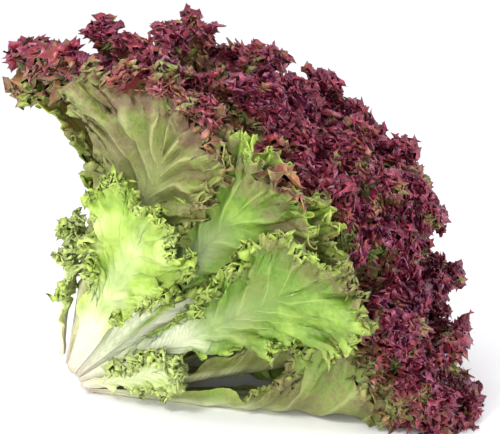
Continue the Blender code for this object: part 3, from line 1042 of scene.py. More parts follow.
# Teeth and notches of the rim, as shares of the lobe's length, and how far they lean in degrees
LOBE_TOOTH = 0.24
LOBE_TOOTH_SIZES = (0.2, 1.5)
LOBE_NOTCH = 0.08
LOBE_TOOTH_LEAN = 5.0

# How a lobe waves, rolls back and cups
LOBE_WAVE = 0.62
LOBE_WAVES = (1.3, 2.6)
LOBE_ROLL = (0.15, 0.95)
LOBE_CUP = 0.25


def lobe_rows(chance):
    """Points of a fan, a unit long: a row halfway out and the toothed rim."""
    waves = chance.uniform(*LOBE_WAVES)
    shift = chance.uniform(0, 2 * math.pi)
    roll = chance.uniform(*LOBE_ROLL)
    cup = chance.uniform(-LOBE_CUP, LOBE_CUP)

    def row(reach, columns):
        spread = np.linspace(-LOBE_SPREAD, LOBE_SPREAD, columns)
        turn = np.radians(spread * reach**LOBE_SPREAD_POWER)
        length = np.full(columns, reach)
        if reach == 1.0:
            tip = np.arange(columns) % 2
            tooth = LOBE_TOOTH * chance.uniform(*LOBE_TOOTH_SIZES, columns)
            length = length + tooth * tip - LOBE_NOTCH * (1 - tip)
            turn = turn + np.radians(chance.uniform(-LOBE_TOOTH_LEAN, LOBE_TOOTH_LEAN, columns))
        wave = LOBE_WAVE * np.sin(waves * turn * 2 + shift) * reach**1.5 + cup * turn * reach
        up = length * np.cos(turn)
        bend = roll * length**1.5
        side = LOBE_WIDTH * length * np.sin(turn)
        return np.stack([side, wave + np.sin(bend) * up, np.cos(bend) * up], axis=1)

    return row(LOBE_MIDDLE, LOBE_MIDDLE_POINTS), row(1.0, LOBE_RIM_POINTS)


def lobe(number, chance, shelf):
    """A thin closed fan whose front and back meet at its base and along its rim."""
    middle, rim = lobe_rows(chance)
    points = np.concatenate([np.zeros((1, 3)), rim, middle, middle])
    on_rim = list(range(1, 1 + len(rim)))
    front = list(range(1 + len(rim), 1 + len(rim) + len(middle)))
    faces = [(0, here, there) for here, there in zip(front, front[1:])] + strip(front, on_rim)
    faces += [(0, on_rim[0], front[0]), (0, front[-1], on_rim[-1])]
    flat = flat_normals(points, np.array(faces))
    for vertex in front:
        normal = unit(flat[[vertex in face for face in faces]].sum(axis=0))
        points[vertex] += LOBE_HALF_THICKNESS * normal
        points[vertex + len(middle)] -= LOBE_HALF_THICKNESS * normal
    behind = {vertex: vertex + len(middle) for vertex in front}
    faces += [tuple(behind.get(vertex, vertex) for vertex in face[::-1]) for face in faces]
    mesh = bpy.data.meshes.new(f"lobe_{number}")
    mesh.from_pydata(points.tolist(), [], faces)
    reach = [0.0] + [1.0] * len(rim) + [LOBE_MIDDLE] * 2 * len(middle)
    mesh.attributes.new("rim", "FLOAT", "POINT").data.foreach_set("value", reach)
    shelf.objects.link(bpy.data.objects.new(mesh.name, mesh))


LOBE_SHELF = bpy.data.collections.new("lobes")
lobe_chance = np.random.default_rng(SEED)
for number in range(LOBES):
    lobe(number, lobe_chance, LOBE_SHELF)

# %% [markdown]
# ### Setting the lobes along a leaf
#
# The last tree sets copies of the lobes over the frilled part of a leaf. Turned by chance alone
# they would look like confetti. On the real frill neighbours belong to one fold, so a noise a few
# millimetres broad turns, spins and shades them alike, and chance only adds a little to that.

# %% The curls tree
CURL_INPUTS = ("Density", "Size", "Scatter", "Start", "Seed", "Material")
SWIRL_SIZE = 0.0060
SWIRL_TURN = 5.0
SWIRL_SPIN = 7.0
SHAKE_TURN = 0.35
SHAKE_SPIN = 0.5
SHAKE_TONE = 0.45
SWIRL_TONE = (0.28, 0.72)
CURL_SIZES = (0.55, 1.4)
CURL_AT_START = 1.7


def random_value(nodes, kind, low, high, seed):
    """A random number or vector for each point, between two bounds."""
    first, output = {"FLOAT_VECTOR": (0, 0), "FLOAT": (2, 1), "INT": (4, 2)}[kind]
    inputs = {first: low, first + 1: high, "Seed": seed}
    return nodes.add("FunctionNodeRandomValue", {"data_type": kind}, inputs, output)


def swirl_noise(nodes):
    """Noise over the leaf: a vector, with its middle at 0, and a number from 0 to 1."""
    where = nodes.add("GeometryNodeInputPosition", {}, {})
    inputs = {"Vector": where, "Scale": 1.0 / SWIRL_SIZE, "Detail": 1.0}
    colour = nodes.add("ShaderNodeTexNoise", {}, inputs, "Color")
    inputs = {0: colour, 1: (SWIRL_TURN,) * 3, 2: (-SWIRL_TURN / 2,) * 3}
    swirl = nodes.add("ShaderNodeVectorMath", {"operation": "MULTIPLY_ADD"}, inputs)
    return swirl, colour.beside("Fac")


def curl_rotation(nodes, given, normal, swirl, sway):
    """A lobe's rotation: out of the leaf's edge, turned by the swirl and by chance."""
    seed, bound = given["Seed"], (SHAKE_TURN,) * 3
    shake = random_value(nodes, "FLOAT_VECTOR", (-SHAKE_TURN,) * 3, bound, seed + 1.0)
    scattered = nodes.scaled(nodes.summed(swirl, shake), given["Scatter"])
    aim = nodes.summed(named(nodes, "out", "FLOAT_VECTOR"), scattered)
    turned = nodes.add("FunctionNodeAlignRotationToVector", {"axis": "Z"}, {"Vector": aim})
    settings, inputs = {"axis": "Y", "pivot_axis": "Z"}, {"Rotation": turned, "Vector": normal}
    turned = nodes.add("FunctionNodeAlignRotationToVector", settings, inputs)
    shake = random_value(nodes, "FLOAT", -SHAKE_SPIN, SHAKE_SPIN, seed + 2.0)
    spin = {"Z": shake + (sway - 0.5) * SWIRL_SPIN}
    inputs = {"Rotation": turned, "Rotate By": nodes.add("ShaderNodeCombineXYZ", {}, spin)}
    return nodes.add("FunctionNodeRotateRotation", {"rotation_space": "LOCAL"}, inputs)


def curls_tree():
    """Copies of the lobes over the part of a leaf that is frill, larger where it starts."""
    nodes, given = open_tree("curls", CURL_INPUTS)
    seed, frill = given["Seed"], named(nodes, "frill")
    density = frill.step(given["Start"], 1.0) * given["Density"]
    inputs = {"Mesh": given["Geometry"], "Density": density, "Seed": seed}
    points = nodes.add("GeometryNodeDistributePointsOnFaces", {}, inputs)
    swirl, sway = swirl_noise(nodes)
    rotation = curl_rotation(nodes, given, points.beside("Normal"), swirl, sway)
    tone = random_value(nodes, "FLOAT", 0.0, SHAKE_TONE, seed + 3.0)
    tone = (tone + sway.step(*SWIRL_TONE) * (1 - SHAKE_TONE)).clamped()
    settings = {"data_type": "FLOAT", "domain": "POINT"}
    inputs = {"Geometry": points, "Name": "tone", "Value": tone}
    toned = nodes.add("GeometryNodeStoreNamedAttribute", settings, inputs)
    inputs = {"Collection": LOBE_SHELF, "Separate Children": True, "Reset Children": True}
    shelf = nodes.add("GeometryNodeCollectionInfo", {}, inputs)
    size = random_value(nodes, "FLOAT", *CURL_SIZES, seed + 4.0) * given["Size"]
    size = size * (CURL_AT_START - frill * (CURL_AT_START - 1))
    inputs = {
        "Points": toned,
        "Instance": shelf,
        "Pick Instance": True,
        "Instance Index": random_value(nodes, "INT", 0, LOBES - 1, seed + 5.0),
        "Rotation": rotation,
        "Scale": nodes.add("ShaderNodeCombineXYZ", {}, {"X": size, "Y": size, "Z": size}),
    }
    placed = nodes.add("GeometryNodeInstanceOnPoints", {}, inputs)
    real = nodes.add("GeometryNodeRealizeInstances", {}, {"Geometry": placed})
    inputs = {"Geometry": real, "Material": given["Material"]}
    return close_tree(nodes, nodes.add("GeometryNodeSetMaterial", {}, inputs))


CURLS = curls_tree()

# %% [markdown]
# ## The finish of a leaf
#
# A leaf's colour follows its parts. The rib is nearly white, the blade runs from yellow-green to
# green, and the red sits in the outer frill, where light reached the leaf as it grew. Where the
# red is thin it looks orange-brown over the green. All of this is worked out from the stored
# values, so the colours follow the frill wherever it folds.

# %% The colours of a leaf
# Greens from the palest blade to the dullest, and reds from where the red sets in to the deepest
GREENS = (
    (0.05, (0.52, 0.62, 0.23)),
    (0.26, (0.34, 0.49, 0.075)),
    (0.50, (0.115, 0.245, 0.014)),
    (0.72, (0.20, 0.255, 0.05)),
    (0.95, (0.15, 0.165, 0.04)),
)
REDS = (
    (0.04, (0.24, 0.27, 0.06)),
    (0.20, (0.25, 0.15, 0.05)),
    (0.38, (0.25, 0.075, 0.040)),
    (0.58, (0.27, 0.024, 0.044)),
    (0.95, (0.125, 0.008, 0.032)),
)
PALE_VEIN = (0.37, 0.50, 0.14, 1.0)
OLIVE_VEIN = (0.52, 0.49, 0.25, 1.0)
WHITE_STALK = (0.75, 0.79, 0.56, 1.0)
OLIVE_STALK = (0.52, 0.54, 0.28, 1.0)
LIGHT_MARGIN = (0.46, 0.58, 0.10, 1.0)
STEM_BLUSH = (0.62, 0.50, 0.45, 1.0)
OLIVE_GRAIN = (0.13, 0.12, 0.05, 1.0)
# Painted shade for the grooves between the ridges of olive leaves
PAINTED_GROOVE_SHADE = (0.10, 0.12, 0.03, 1.0)
PURPLE_MOTTLE = (0.15, 0.065, 0.055, 1.0)
# Painted shade and painted light: the reds are multiplied between these two by each lobe's tone
PAINTED_SHADE_TINT = (0.30, 0.30, 0.32, 1.0)
PAINTED_LIGHT_TINT = (1.60, 1.45, 1.55, 1.0)
# Painted highlight: a mauve tint laid over the red of the lightest lobes
PAINTED_MAUVE_HIGHLIGHT = (0.44, 0.16, 0.36, 1.0)

# Noise over the leaf: its scale and its detail
NOISES = {"broad": (45.0, 3.0), "small": (260.0, 3.0), "grain": (900.0, 2.0), "bare": (80.0, 1.0)}
READ = ("across", "reach", "column", "ridges", "red", "rim", "tone", "hue", "rib", "stalk")


def leaf_values(nodes):
    """What a leaf's finish is worked out from: what its points keep, and noise."""
    at = {}
    for title in READ:
        at[title] = nodes.add("ShaderNodeAttribute", {"attribute_name": title}, {}, "Fac")
    at["spot"] = nodes.add("ShaderNodeTexCoord", {}, {}, "Object")
    for title, (scale, detail) in NOISES.items():
        inputs = {"Vector": at["spot"], "Scale": scale, "Detail": detail}
        at[title] = nodes.add("ShaderNodeTexNoise", {}, inputs)
    return at


print("a leaf's finish reads", len(READ), "stored values and", len(NOISES), "noises")

# %% [markdown]
# ### Veins
#
# A leaf has main side veins, a finer set between them, and a net that joins those. The main ones
# could be drawn anywhere, but they would miss the ridges of the mesh, so they read the same
# column. The net is the edges of a cell pattern, shaken so that its lines aren't straight.

# %% Where the veins run
VEIN_WANDER = 0.12
MAIN_WIDTH = (0.80, 0.98)
MAIN_ACROSS = (0.5, 0.95)
FINE_TO_MAIN = 5.0
FINE_WANDER = 4.0
FINE_WIDTH = (0.72, 1.0)
FINE_ACROSS = (0.15, 0.4)
FINE_SHARE = 0.35
NET_SCALE = 200.0
NET_SHAKE = 0.004
NET_WIDTH = (0.02, 0.16)
NET_ACROSS = (0.12, 0.35)
NET_SHARE = 0.32


def veins(nodes, at):
    """How near a place is to a main vein and to a fine one, and how much of it is vein."""
    across = at["across"]
    shaken = nodes.scaled(at["small"].beside("Color"), NET_SHAKE)
    cells = {"Vector": nodes.summed(at["spot"], shaken), "Scale": NET_SCALE}
    net = nodes.add("ShaderNodeTexVoronoi", {"feature": "DISTANCE_TO_EDGE"}, cells)
    net = 1.0 - net.step(*NET_WIDTH)
    wander = (at["small"] - 0.5) * VEIN_WANDER
    turns = at["column"] * at["ridges"]
    main = 1.0 - (turns + wander).maths("PINGPONG", 0.5) * 2.0
    fine = turns * FINE_TO_MAIN + wander * FINE_WANDER
    fine = 1.0 - fine.maths("PINGPONG", 0.5) * 2.0
    vein = main.step(*MAIN_WIDTH) * (1.0 - across.step(*MAIN_ACROSS))
    finer = fine.step(*FINE_WIDTH) * across.step(*FINE_ACROSS) * FINE_SHARE
    vein = vein.maths("MAXIMUM", finer)
    return main, fine, vein.maths("MAXIMUM", net * across.step(*NET_ACROSS) * NET_SHARE)


print("fine veins between two main ones:", int(FINE_TO_MAIN) - 1)

# %% [markdown]
# ### The green blade
#
# The blade is layers of colour, the next one always laid over the last: green, paler veins, a
# light margin, the white stalk with its fibres, the blush near the stem, and on olive leaves a
# dark grain and painted shade in the grooves between the ridges. Purple-brown shows between the
# veins where the red is about to start. A layer is a Mix node whose factor says where it lies.

# %% The blade's colour
HUE_CLOUD = 0.9
HUE_SPECK = 0.25
OLIVE_HUE = (0.6, 0.84)
VEIN_SHARE = 0.36

MARGIN_ACROSS = (0.86, 1.0)
MARGIN_SHARE = 0.45
MARGIN_LOSS_ON_OLIVE = 0.35

STALK_ACROSS = (0.5, 0.9)
STALK_REACH = (0.20, 0.40)
RIB_REACH = (0.42, 0.88)
STALK_SHARE = 0.96
FIBRE_WIDTH = (0.35, 1.0)
FIBRE_LEAST = 0.4
FIBRE_SHARE = 0.34
BLUSH_REACH = (0.08, 0.24)
BLUSH_SHARE = 0.6

GRAIN_STEP = (0.52, 0.72)
GRAIN_SHARE = 0.35
# Where the painted shade of the grooves lies, and how strong it is
GROOVE_WIDTH = (0.0, 0.55)
GROOVE_STARTS = (0.06, 0.2)
GROOVE_ENDS = (0.6, 0.95)
GROOVE_SHADE_SHARE = 0.55

MOTTLE_CLOUD = 0.6
MOTTLE_STEP = (0.42, 0.58)
MOTTLE_RED = (-1.7, -0.1)
MOTTLE_ACROSS = (0.2, 0.6)
MOTTLE_SHARE = 0.75


def blade_colour(nodes, at, main, fine, vein):
    """The colour of a leaf below its red."""
    across, reach, broad, small = at["across"], at["reach"], at["broad"], at["small"]
    olive = at["hue"].step(*OLIVE_HUE)
    shade = at["hue"] + (broad - 0.5) * HUE_CLOUD + (small - 0.5) * HUE_SPECK
    green = nodes.add("ShaderNodeValToRGB", {"stops": GREENS}, {"Fac": shade})
    blade = nodes.mix(vein * VEIN_SHARE, green, nodes.mix(olive, PALE_VEIN, OLIVE_VEIN))
    margin = across.step(*MARGIN_ACROSS) * (MARGIN_SHARE - olive * MARGIN_LOSS_ON_OLIVE)
    blade = nodes.mix(margin, blade, LIGHT_MARGIN)
    stalk = at["stalk"] * (1.0 - across.step(*STALK_ACROSS) * reach.step(*STALK_REACH))
    stalk = stalk.maths("MAXIMUM", at["rib"] * (1.0 - reach.step(*RIB_REACH)))
    fibre = fine.step(*FIBRE_WIDTH) * (FIBRE_LEAST + small * (1 - FIBRE_LEAST))
    white = nodes.mix(olive, WHITE_STALK, OLIVE_STALK)
    blade = nodes.mix(stalk * (STALK_SHARE - fibre * FIBRE_SHARE), blade, white)
    blade = nodes.mix((1.0 - reach.step(*BLUSH_REACH)) * BLUSH_SHARE, blade, STEM_BLUSH)
    blade = nodes.mix(at["grain"].step(*GRAIN_STEP) * olive * GRAIN_SHARE, blade, OLIVE_GRAIN)
    # Painted shade: olive blades are darkened in the grooves between their ridges
    groove_shade = (1.0 - main.step(*GROOVE_WIDTH)) * across.step(*GROOVE_STARTS)
    groove_shade = groove_shade * (1.0 - across.step(*GROOVE_ENDS))
    blade = nodes.mix(groove_shade * olive * GROOVE_SHADE_SHARE, blade, PAINTED_GROOVE_SHADE)
    mottle = (broad * MOTTLE_CLOUD + small * (1 - MOTTLE_CLOUD)).step(*MOTTLE_STEP)
    mottle = mottle * (1.0 - vein) * at["red"].step(*MOTTLE_RED)
    return nodes.mix(mottle * across.step(*MOTTLE_ACROSS) * MOTTLE_SHARE, blade, PURPLE_MOTTLE)


print("greens from the palest to the dullest:", len(GREENS))

# %% [markdown]
# ### The red frill
#
# The red is not even. It starts in patches, is deepest at the rims of the lobes, and leaves some
# lobes olive. A number for how red each place is runs through a ramp from olive over brown and
# crimson to maroon. The lobes' stored tone then paints shade on some and light on others, and
# a mauve highlight on the lightest, so single lobes can be told apart in the dome.

# %% The frill's colour
MOST_RED = 1.2
PATCH_CLOUD = 2.6
PATCH_SPECK = 0.9
TONE_TO_RED = 0.6
RIM_TO_RED = 1.2
RIM_MIDDLE = 0.8
BARE_STEP = (0.58, 0.70)
BARE_LOSS = 1.1
RED_RANGE = 1.7
# Painted highlight: which lobes get the mauve tint, and how much of it
HIGHLIGHT_TONE = (0.6, 1.0)
HIGHLIGHT_SHARE = 0.35


def frill_colour(nodes, at):
    """How red each place of a leaf is, and its red, with painted shade, light and highlight on the
    lobes.
    """
    patch = (at["broad"] - 0.5) * PATCH_CLOUD + (at["small"] - 0.5) * PATCH_SPECK
    redness = at["red"].maths("MINIMUM", MOST_RED) + patch + (at["tone"] - 0.5) * TONE_TO_RED
    redness = redness + (at["rim"] - RIM_MIDDLE) * RIM_TO_RED
    redness = redness - at["bare"].step(*BARE_STEP) * BARE_LOSS
    reds = nodes.add("ShaderNodeValToRGB", {"stops": REDS}, {"Fac": redness / RED_RANGE})
    # Painted shade and painted light: each lobe's red is darkened or lightened by its tone
    settings = {"data_type": "RGBA", "blend_type": "MULTIPLY"}
    inputs = {0: 1.0, 6: reds, 7: nodes.mix(at["tone"], PAINTED_SHADE_TINT, PAINTED_LIGHT_TINT)}
    reds = nodes.add("ShaderNodeMix", settings, inputs, output=2)
    # Painted highlight: the lightest, reddest lobes are tinted mauve
    painted_highlight = at["tone"].step(*HIGHLIGHT_TONE) * redness.clamped() * HIGHLIGHT_SHARE
    return redness, nodes.mix(painted_highlight, reds, PAINTED_MAUVE_HIGHLIGHT)


print("reds from olive to maroon:", len(REDS))

# %% [markdown]
# ### The leaf material
#
# A leaf lets some light through, which the shader's subsurface part stands for. Green blades are
# dull, and the red frill is glossier, as if moist. One function makes the finish of every kind of
# leaf, since the stored values hold what differs.

# %% Leaf material
LEAF_BODY = {
    "Specular IOR Level": 0.60,
    "Specular Tint": (0.95, 0.66, 0.82, 1.0),
    "Coat Roughness": 0.22,
    "Subsurface Weight": 0.30,
    "Subsurface Scale": 0.003,
    "Subsurface Radius": (1.0, 0.7, 0.3),
}
RED_SETS_IN = (-0.1, 0.3)
GREEN_DULLNESS = 0.20
RED_GLOSS = 0.18
RED_COAT = 0.25
VEIN_BUMP = 0.5
SPECK_BUMP = 0.7
GRAIN_BUMP = 0.35
LEAF_BUMP = {"Strength": 0.6, "Distance": 0.0010}


def open_material(name):
    """A new material, and its tree to add nodes to."""
    made = bpy.data.materials.new(name)
    made.use_nodes = True
    made.node_tree.nodes.clear()
    return made, Nodes(made.node_tree)


def close_material(nodes, body, bump):
    """Adds the shader, with its bump, and the output."""
    normal = nodes.add("ShaderNodeBump", {}, bump)
    shader = nodes.add("ShaderNodeBsdfPrincipled", {}, {**body, "Normal": normal})
    leaving = nodes.tree.nodes.new("ShaderNodeOutputMaterial")
    nodes.tree.links.new(shader.socket, leaving.inputs["Surface"])


def leaf_material(name, roughness):
    """The finish of one kind of leaf, as rough as said where it is red."""
    made, nodes = open_material(name)
    at = leaf_values(nodes)
    main, fine, vein = veins(nodes, at)
    redness, reds = frill_colour(nodes, at)
    blade = blade_colour(nodes, at, main, fine, vein)
    body = {
        **LEAF_BODY,
        "Base Color": nodes.mix(redness.step(*RED_SETS_IN), blade, reds),
        "Roughness": roughness + GREEN_DULLNESS - redness.clamped() * RED_GLOSS,
        "Coat Weight": redness.clamped() * RED_COAT,
    }
    height = vein * VEIN_BUMP + at["small"] * SPECK_BUMP + at["grain"] * GRAIN_BUMP
    close_material(nodes, body, {"Height": height, **LEAF_BUMP})
    print(name, "finish:", len(nodes.tree.nodes), "nodes")
    return made


FINISHES = {
    "base": leaf_material("pale leaf", 0.42),
    "outer": leaf_material("outer leaf", 0.32),
    "middle": leaf_material("middle leaf", 0.32),
    "heart": leaf_material("heart leaf", 0.32),
}

# %% [markdown]
# ## Growing the leaves
#
# Each leaf is made in the same way: its sheet, its teeth, the ridges of its veins, crinkles and
# ruffles of two sizes each, and a Solidify modifier whose vertex group holds the blade's and the
# rib's thickness. Crumpled leaves have larger crinkles, finer ruffles and small green curls. The
# leaves that the photo shows get more columns than the ones behind and inside.

# %% Sizes of teeth, folds and curls
NEAR_FINE = 360
FAR_FINE = 200
INNER_FINE = 88
NEAR_FROM = 330.0
NEAR_TO = 200.0

TEETH_PLAN = {"Length": 0.0042, "Start": 0.90}
TEETH_SPACING = {NEAR_FINE: 0.0038, FAR_FINE: 0.0062, INNER_FINE: 0.0100}
FINE_TEETH = {"Length": 0.0052, "Spacing": 0.0030}
CRINKLES = ({"Size": 0.013, "Height": 0.0026}, {"Size": 0.005, "Height": 0.0009})
CRUMPLES = ({"Size": 0.028, "Height": 0.0100}, {"Size": 0.011, "Height": 0.0030})
RUFFLES = (
    {"Wave length": 0.0120, "Height": 0.0040, "Overhang": 0.15, "Start": 0.40, "Power": 1.3},
    {"Wave length": 0.0050, "Height": 0.0017, "Overhang": 0.13, "Start": 0.70, "Power": 1.2},
)
FINE_RUFFLES = (
    {"Wave length": 0.0085, "Height": 0.0020, "Overhang": 0.12, "Start": 0.50, "Power": 1.5},
    {"Wave length": 0.0036, "Height": 0.0009, "Overhang": 0.10, "Start": 0.75, "Power": 1.2},
)
CURL_PLAN = {"Density": 128000.0, "Size": 0.0038, "Scatter": 0.70, "Start": 0.15}
LARGE_CURLED = ("outer_leaf_3", "outer_leaf_6")
LARGE_CURLS = {"Density": 84000.0, "Size": 0.0055}
GREEN_CURLS = {"Density": 110000.0, "Size": 0.0026}

# How far apart the seeds are, from leaf to leaf and from one size to the next
TEETH_SEEDS = 2.1
CRINKLE_SIZE_SEEDS = 7.3
RUFFLE_SEEDS = 3.7
RUFFLE_SIZE_SEEDS = 11.0
CURL_SEEDS = 10.0
print("waves of", [1000 * sizes["Wave length"] for sizes in RUFFLES], "mm along most edges")

# %% [markdown]
# ### From modifiers to a plain mesh
#
# A tree's inputs are set by their sockets' identifiers, before the object is first evaluated. The
# evaluated result becomes a plain mesh, which rides on the frame in its node's place. Curls may
# pass the frame's box by a few millimetres, and points that would lie further out are set back.

# %% Modifiers and the finished mesh
ROOM_ROUND_BOX = 0.0028


def add_tree(made, tree, inputs):
    """Adds a geometry tree to an object and sets its named inputs by their identifiers."""
    modifier = made.modifiers.new(tree.name, "NODES")
    modifier.node_group = tree
    for item in tree.interface.items_tree:
        if item.in_out == "INPUT" and item.name in inputs:
            modifier[item.identifier] = inputs[item.name]


def add_thickness(made):
    """Gives a sheet the thickness that its vertex group holds."""
    shell = made.modifiers.new("thickness", "SOLIDIFY")
    shell.thickness = THICKEST
    shell.offset = 0.0
    shell.vertex_group = "thick"
    shell.use_rim = True
    return shell


def finished_piece(source, name, leaf):
    """The evaluated mesh of an object as a piece that stands in for the leaf's node."""
    graph = bpy.context.evaluated_depsgraph_get()
    mesh = bpy.data.meshes.new_from_object(source.evaluated_get(graph))
    points = np.empty(len(mesh.vertices) * 3, np.float32)
    mesh.vertices.foreach_get("co", points)
    points = np.clip(points.reshape(-1, 3), CAD_LOW - ROOM_ROUND_BOX, CAD_HIGH + ROOM_ROUND_BOX)
    points[:, 2] = np.maximum(points[:, 2], 0.0)
    mesh.vertices.foreach_set("co", points.ravel())
    mesh.materials.clear()
    mesh.materials.append(FINISHES[leaf["kind"]])
    mesh.polygons.foreach_set("use_smooth", [True] * len(mesh.polygons))
    made = bpy.data.objects.new(name, mesh)
    bpy.context.scene.collection.objects.link(made)
    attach(made, "root")
    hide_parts(leaf["name"])
    return sum(len(face.vertices) - 2 for face in mesh.polygons)


print("pieces may pass the frame's box by", 1000 * ROOM_ROUND_BOX, "mm")

# %% Every leaf


def grow(leaf, number):
    """Makes one leaf's sheet and its curls and puts them in its node's place."""
    name, finish = leaf["name"], FINISHES[leaf["kind"]]
    crumpled = name in CRUMPLED
    seen = NEAR_FROM < leaf["azimuth"] or leaf["azimuth"] < NEAR_TO
    fine = NEAR_FINE if seen else FAR_FINE
    fine = INNER_FINE if leaf["kind"] in ("middle", "heart") else fine
    sheet = sheet_object(leaf, fine)
    plan = {**TEETH_PLAN, "Spacing": TEETH_SPACING[fine], "Seed": number * TEETH_SEEDS}
    plan.update(FINE_TEETH if crumpled else {})
    add_tree(sheet, TEETH, plan)
    add_tree(sheet, PLEAT, {"Height": RIDGES_OF.get(name, RIDGES)[1]})
    for order, sizes in enumerate(CRINKLES + (CRUMPLES if crumpled else ())):
        add_tree(sheet, CRINKLE, {**sizes, "Seed": number + CRINKLE_SIZE_SEEDS * order})
    for order, sizes in enumerate(FINE_RUFFLES if crumpled else RUFFLES):
        seed = number * RUFFLE_SEEDS + RUFFLE_SIZE_SEEDS * order
        add_tree(sheet, RUFFLE, {**sizes, "Seed": seed})
    shell = add_thickness(sheet)
    in_sheet = finished_piece(sheet, "fine_" + name, leaf)
    sheet.modifiers.remove(shell)
    in_curls = 0
    if name not in UNCURLED:
        plan = {**CURL_PLAN, "Seed": number * CURL_SEEDS, "Material": finish}
        plan.update(LARGE_CURLS if name in LARGE_CURLED else {})
        plan.update(GREEN_CURLS if crumpled else {})
        add_tree(sheet, CURLS, plan)
        in_curls = finished_piece(sheet, "curls_" + name, leaf)
    bpy.data.objects.remove(sheet)
    print(name, "has", in_sheet, "triangles in its sheet and", in_curls, "in its curls")
    return np.array([in_sheet, in_curls])


total = sum(grow(leaf, number) for number, leaf in enumerate(LEAVES))
for made in list(LOBE_SHELF.objects):
    bpy.data.objects.remove(made)
print("triangles in sheets and curls:", total)

# %% [markdown]
# ## The stem
#
# The stem's node has the right shape, a cone with a flat cut end, so it stays and only gets a
# finish: moist pale flesh with darker specks and pinkish clouds, and a brown rim where the cut
# dried. The rim lies at one distance from the head's axis, which wavers with the clouds.

# %% Stem finish
CUT_HALF = 0.0095
CUT_RIM = 0.0035
CUT_WAVER = 0.004
RIM_SHARE = 0.85
SPECK_STEP = (0.45, 0.75)
CLOUD_STEP = (0.4, 0.7)
CLOUD_SHARE = 0.4
FLESH = (0.76, 0.66, 0.52, 1.0)
FLESH_SPECK = (0.66, 0.48, 0.35, 1.0)
FLESH_CLOUD = (0.72, 0.50, 0.42, 1.0)
DRIED_RIM = (0.34, 0.16, 0.09, 1.0)


def stem_material():
    """The finish of the stem."""
    made, nodes = open_material("stem")
    spot = nodes.add("ShaderNodeTexCoord", {}, {}, "Object")
    speck = nodes.add("ShaderNodeTexNoise", {}, {"Vector": spot, "Scale": 400.0, "Detail": 4.0})
    cloud = nodes.add("ShaderNodeTexNoise", {}, {"Vector": spot, "Scale": 90.0, "Detail": 2.0})
    split = nodes.add("ShaderNodeSeparateXYZ", {}, {"Vector": spot})
    along_x, height = split.beside("X") - float(APEX[0]), split.beside("Z")
    side = split.beside("Y") - float(APEX[1])
    forward = along_x * float(AXIS[0]) + height * float(AXIS[2])
    from_axis = (along_x * along_x + side * side + height * height - forward * forward) ** 0.5
    rim = (from_axis + (cloud - 0.5) * CUT_WAVER).step(CUT_HALF - CUT_RIM, CUT_HALF)
    colour = nodes.mix(speck.step(*SPECK_STEP), FLESH, FLESH_SPECK)
    colour = nodes.mix(cloud.step(*CLOUD_STEP) * CLOUD_SHARE, colour, FLESH_CLOUD)
    colour = nodes.mix(rim * RIM_SHARE, colour, DRIED_RIM)
    body = {"Base Color": colour, "Roughness": 0.35 + speck * 0.2}
    close_material(nodes, body, {"Height": speck, "Strength": 0.4, "Distance": 0.0006})
    return made


stem = frame["nodes"]["stem"]
stem.data.materials.clear()
stem.data.materials.append(stem_material())

# %% [markdown]
# ## Floor, light and camera
#
# The photo is a studio shot on white. A pale floor, a white world and four soft lights give the
# same even light, with a faint shadow under the head. One large light alone would leave the
# stalks grey under the blades, so the lowest light shines in under them from the front.

# %% Floor and world
FLOOR_HALF = 3.0
FLOOR_COLOUR = (0.97, 0.965, 0.985)
FLOOR_ROUGHNESS = 0.9
WORLD_STRENGTH = 1.0


def plain_material(name, colour, roughness):
    """An even finish."""
    made = bpy.data.materials.new(name)
    made.use_nodes = True
    shader = made.node_tree.nodes["Principled BSDF"]
    shader.inputs["Base Color"].default_value = (*colour, 1.0)
    shader.inputs["Roughness"].default_value = roughness
    return made


corners = [(-FLOOR_HALF, -FLOOR_HALF, 0), (FLOOR_HALF, -FLOOR_HALF, 0)]
corners += [(FLOOR_HALF, FLOOR_HALF, 0), (-FLOOR_HALF, FLOOR_HALF, 0)]
floor_mesh = bpy.data.meshes.new("floor")
floor_mesh.from_pydata(corners, [], [(0, 1, 2, 3)])
floor_mesh.materials.append(plain_material("floor", FLOOR_COLOUR, FLOOR_ROUGHNESS))
floor = bpy.data.objects.new("floor", floor_mesh)
bpy.context.scene.collection.objects.link(floor)

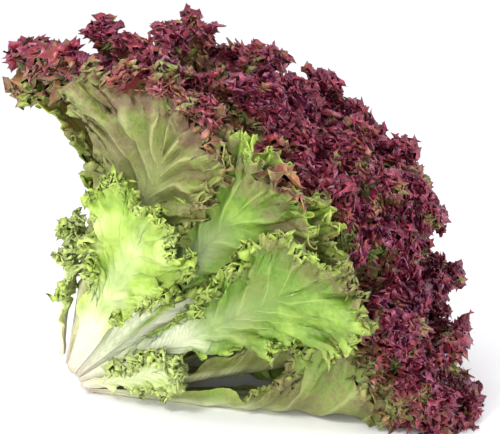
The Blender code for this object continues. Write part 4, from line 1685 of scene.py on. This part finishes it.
world = bpy.data.worlds.new("studio")
world.use_nodes = True
world.node_tree.nodes["Background"].inputs["Color"].default_value = (1.0, 1.0, 1.0, 1.0)
world.node_tree.nodes["Background"].inputs["Strength"].default_value = WORLD_STRENGTH
bpy.context.scene.world = world
bpy.context.scene.view_settings.view_transform = "Standard"
print("floor half a side, in metres:", FLOOR_HALF)

# %% Lights
# Each light's place, the place it points at, its side in metres and its power in watts
LIGHTS = {
    "key": ((-0.5, -0.8, 1.0), (0.0, 0.0, 0.08), 0.28, 9.0),
    "fill": ((0.9, -0.6, 0.7), (0.0, 0.0, 0.08), 0.4, 4.0),
    "front": ((-0.1, -1.2, 0.16), (0.0, 0.0, 0.06), 0.5, 8.0),
    "side": ((-1.0, -0.5, 0.30), (-0.06, 0.0, 0.07), 0.5, 1.5),
}


def soft_light(name, place_at, aim_at, size, power):
    """A square area light that points at a place."""
    lamp = bpy.data.lights.new(name, "AREA")
    lamp.size = size
    lamp.energy = power
    made = bpy.data.objects.new(name, lamp)
    made.location = place_at
    made.rotation_euler = (Vector(aim_at) - Vector(place_at)).to_track_quat("-Z", "Y").to_euler()
    bpy.context.scene.collection.objects.link(made)


for name, values in LIGHTS.items():
    soft_light(name, *values)
print("lights:", list(LIGHTS))

# %% [markdown]
# ### The camera
#
# The photo looks at the head from a little above, with a long lens that hardly foreshortens it.
# The camera aims at a place over the middle of the head, measured from the apex.

# %% Camera
CAMERA_ELEVATION = 12.0
CAMERA_DISTANCE = 1.0
CAMERA_LENS = 149.0
AIM_FROM_APEX = 0.0945
AIM_HEIGHT = 0.0845

rise = math.radians(CAMERA_ELEVATION)
aim = Vector((APEX[0] + AIM_FROM_APEX, 0.0, AIM_HEIGHT))
back = Vector((0.0, -math.cos(rise), math.sin(rise)))
camera = bpy.data.objects.new("camera", bpy.data.cameras.new("camera"))
camera.data.lens = CAMERA_LENS
camera.location = aim + back * CAMERA_DISTANCE
camera.rotation_euler = (-back).to_track_quat("-Z", "Y").to_euler()
bpy.context.scene.collection.objects.link(camera)
bpy.context.scene.camera = camera
print("camera at", [round(c, 3) for c in camera.location])
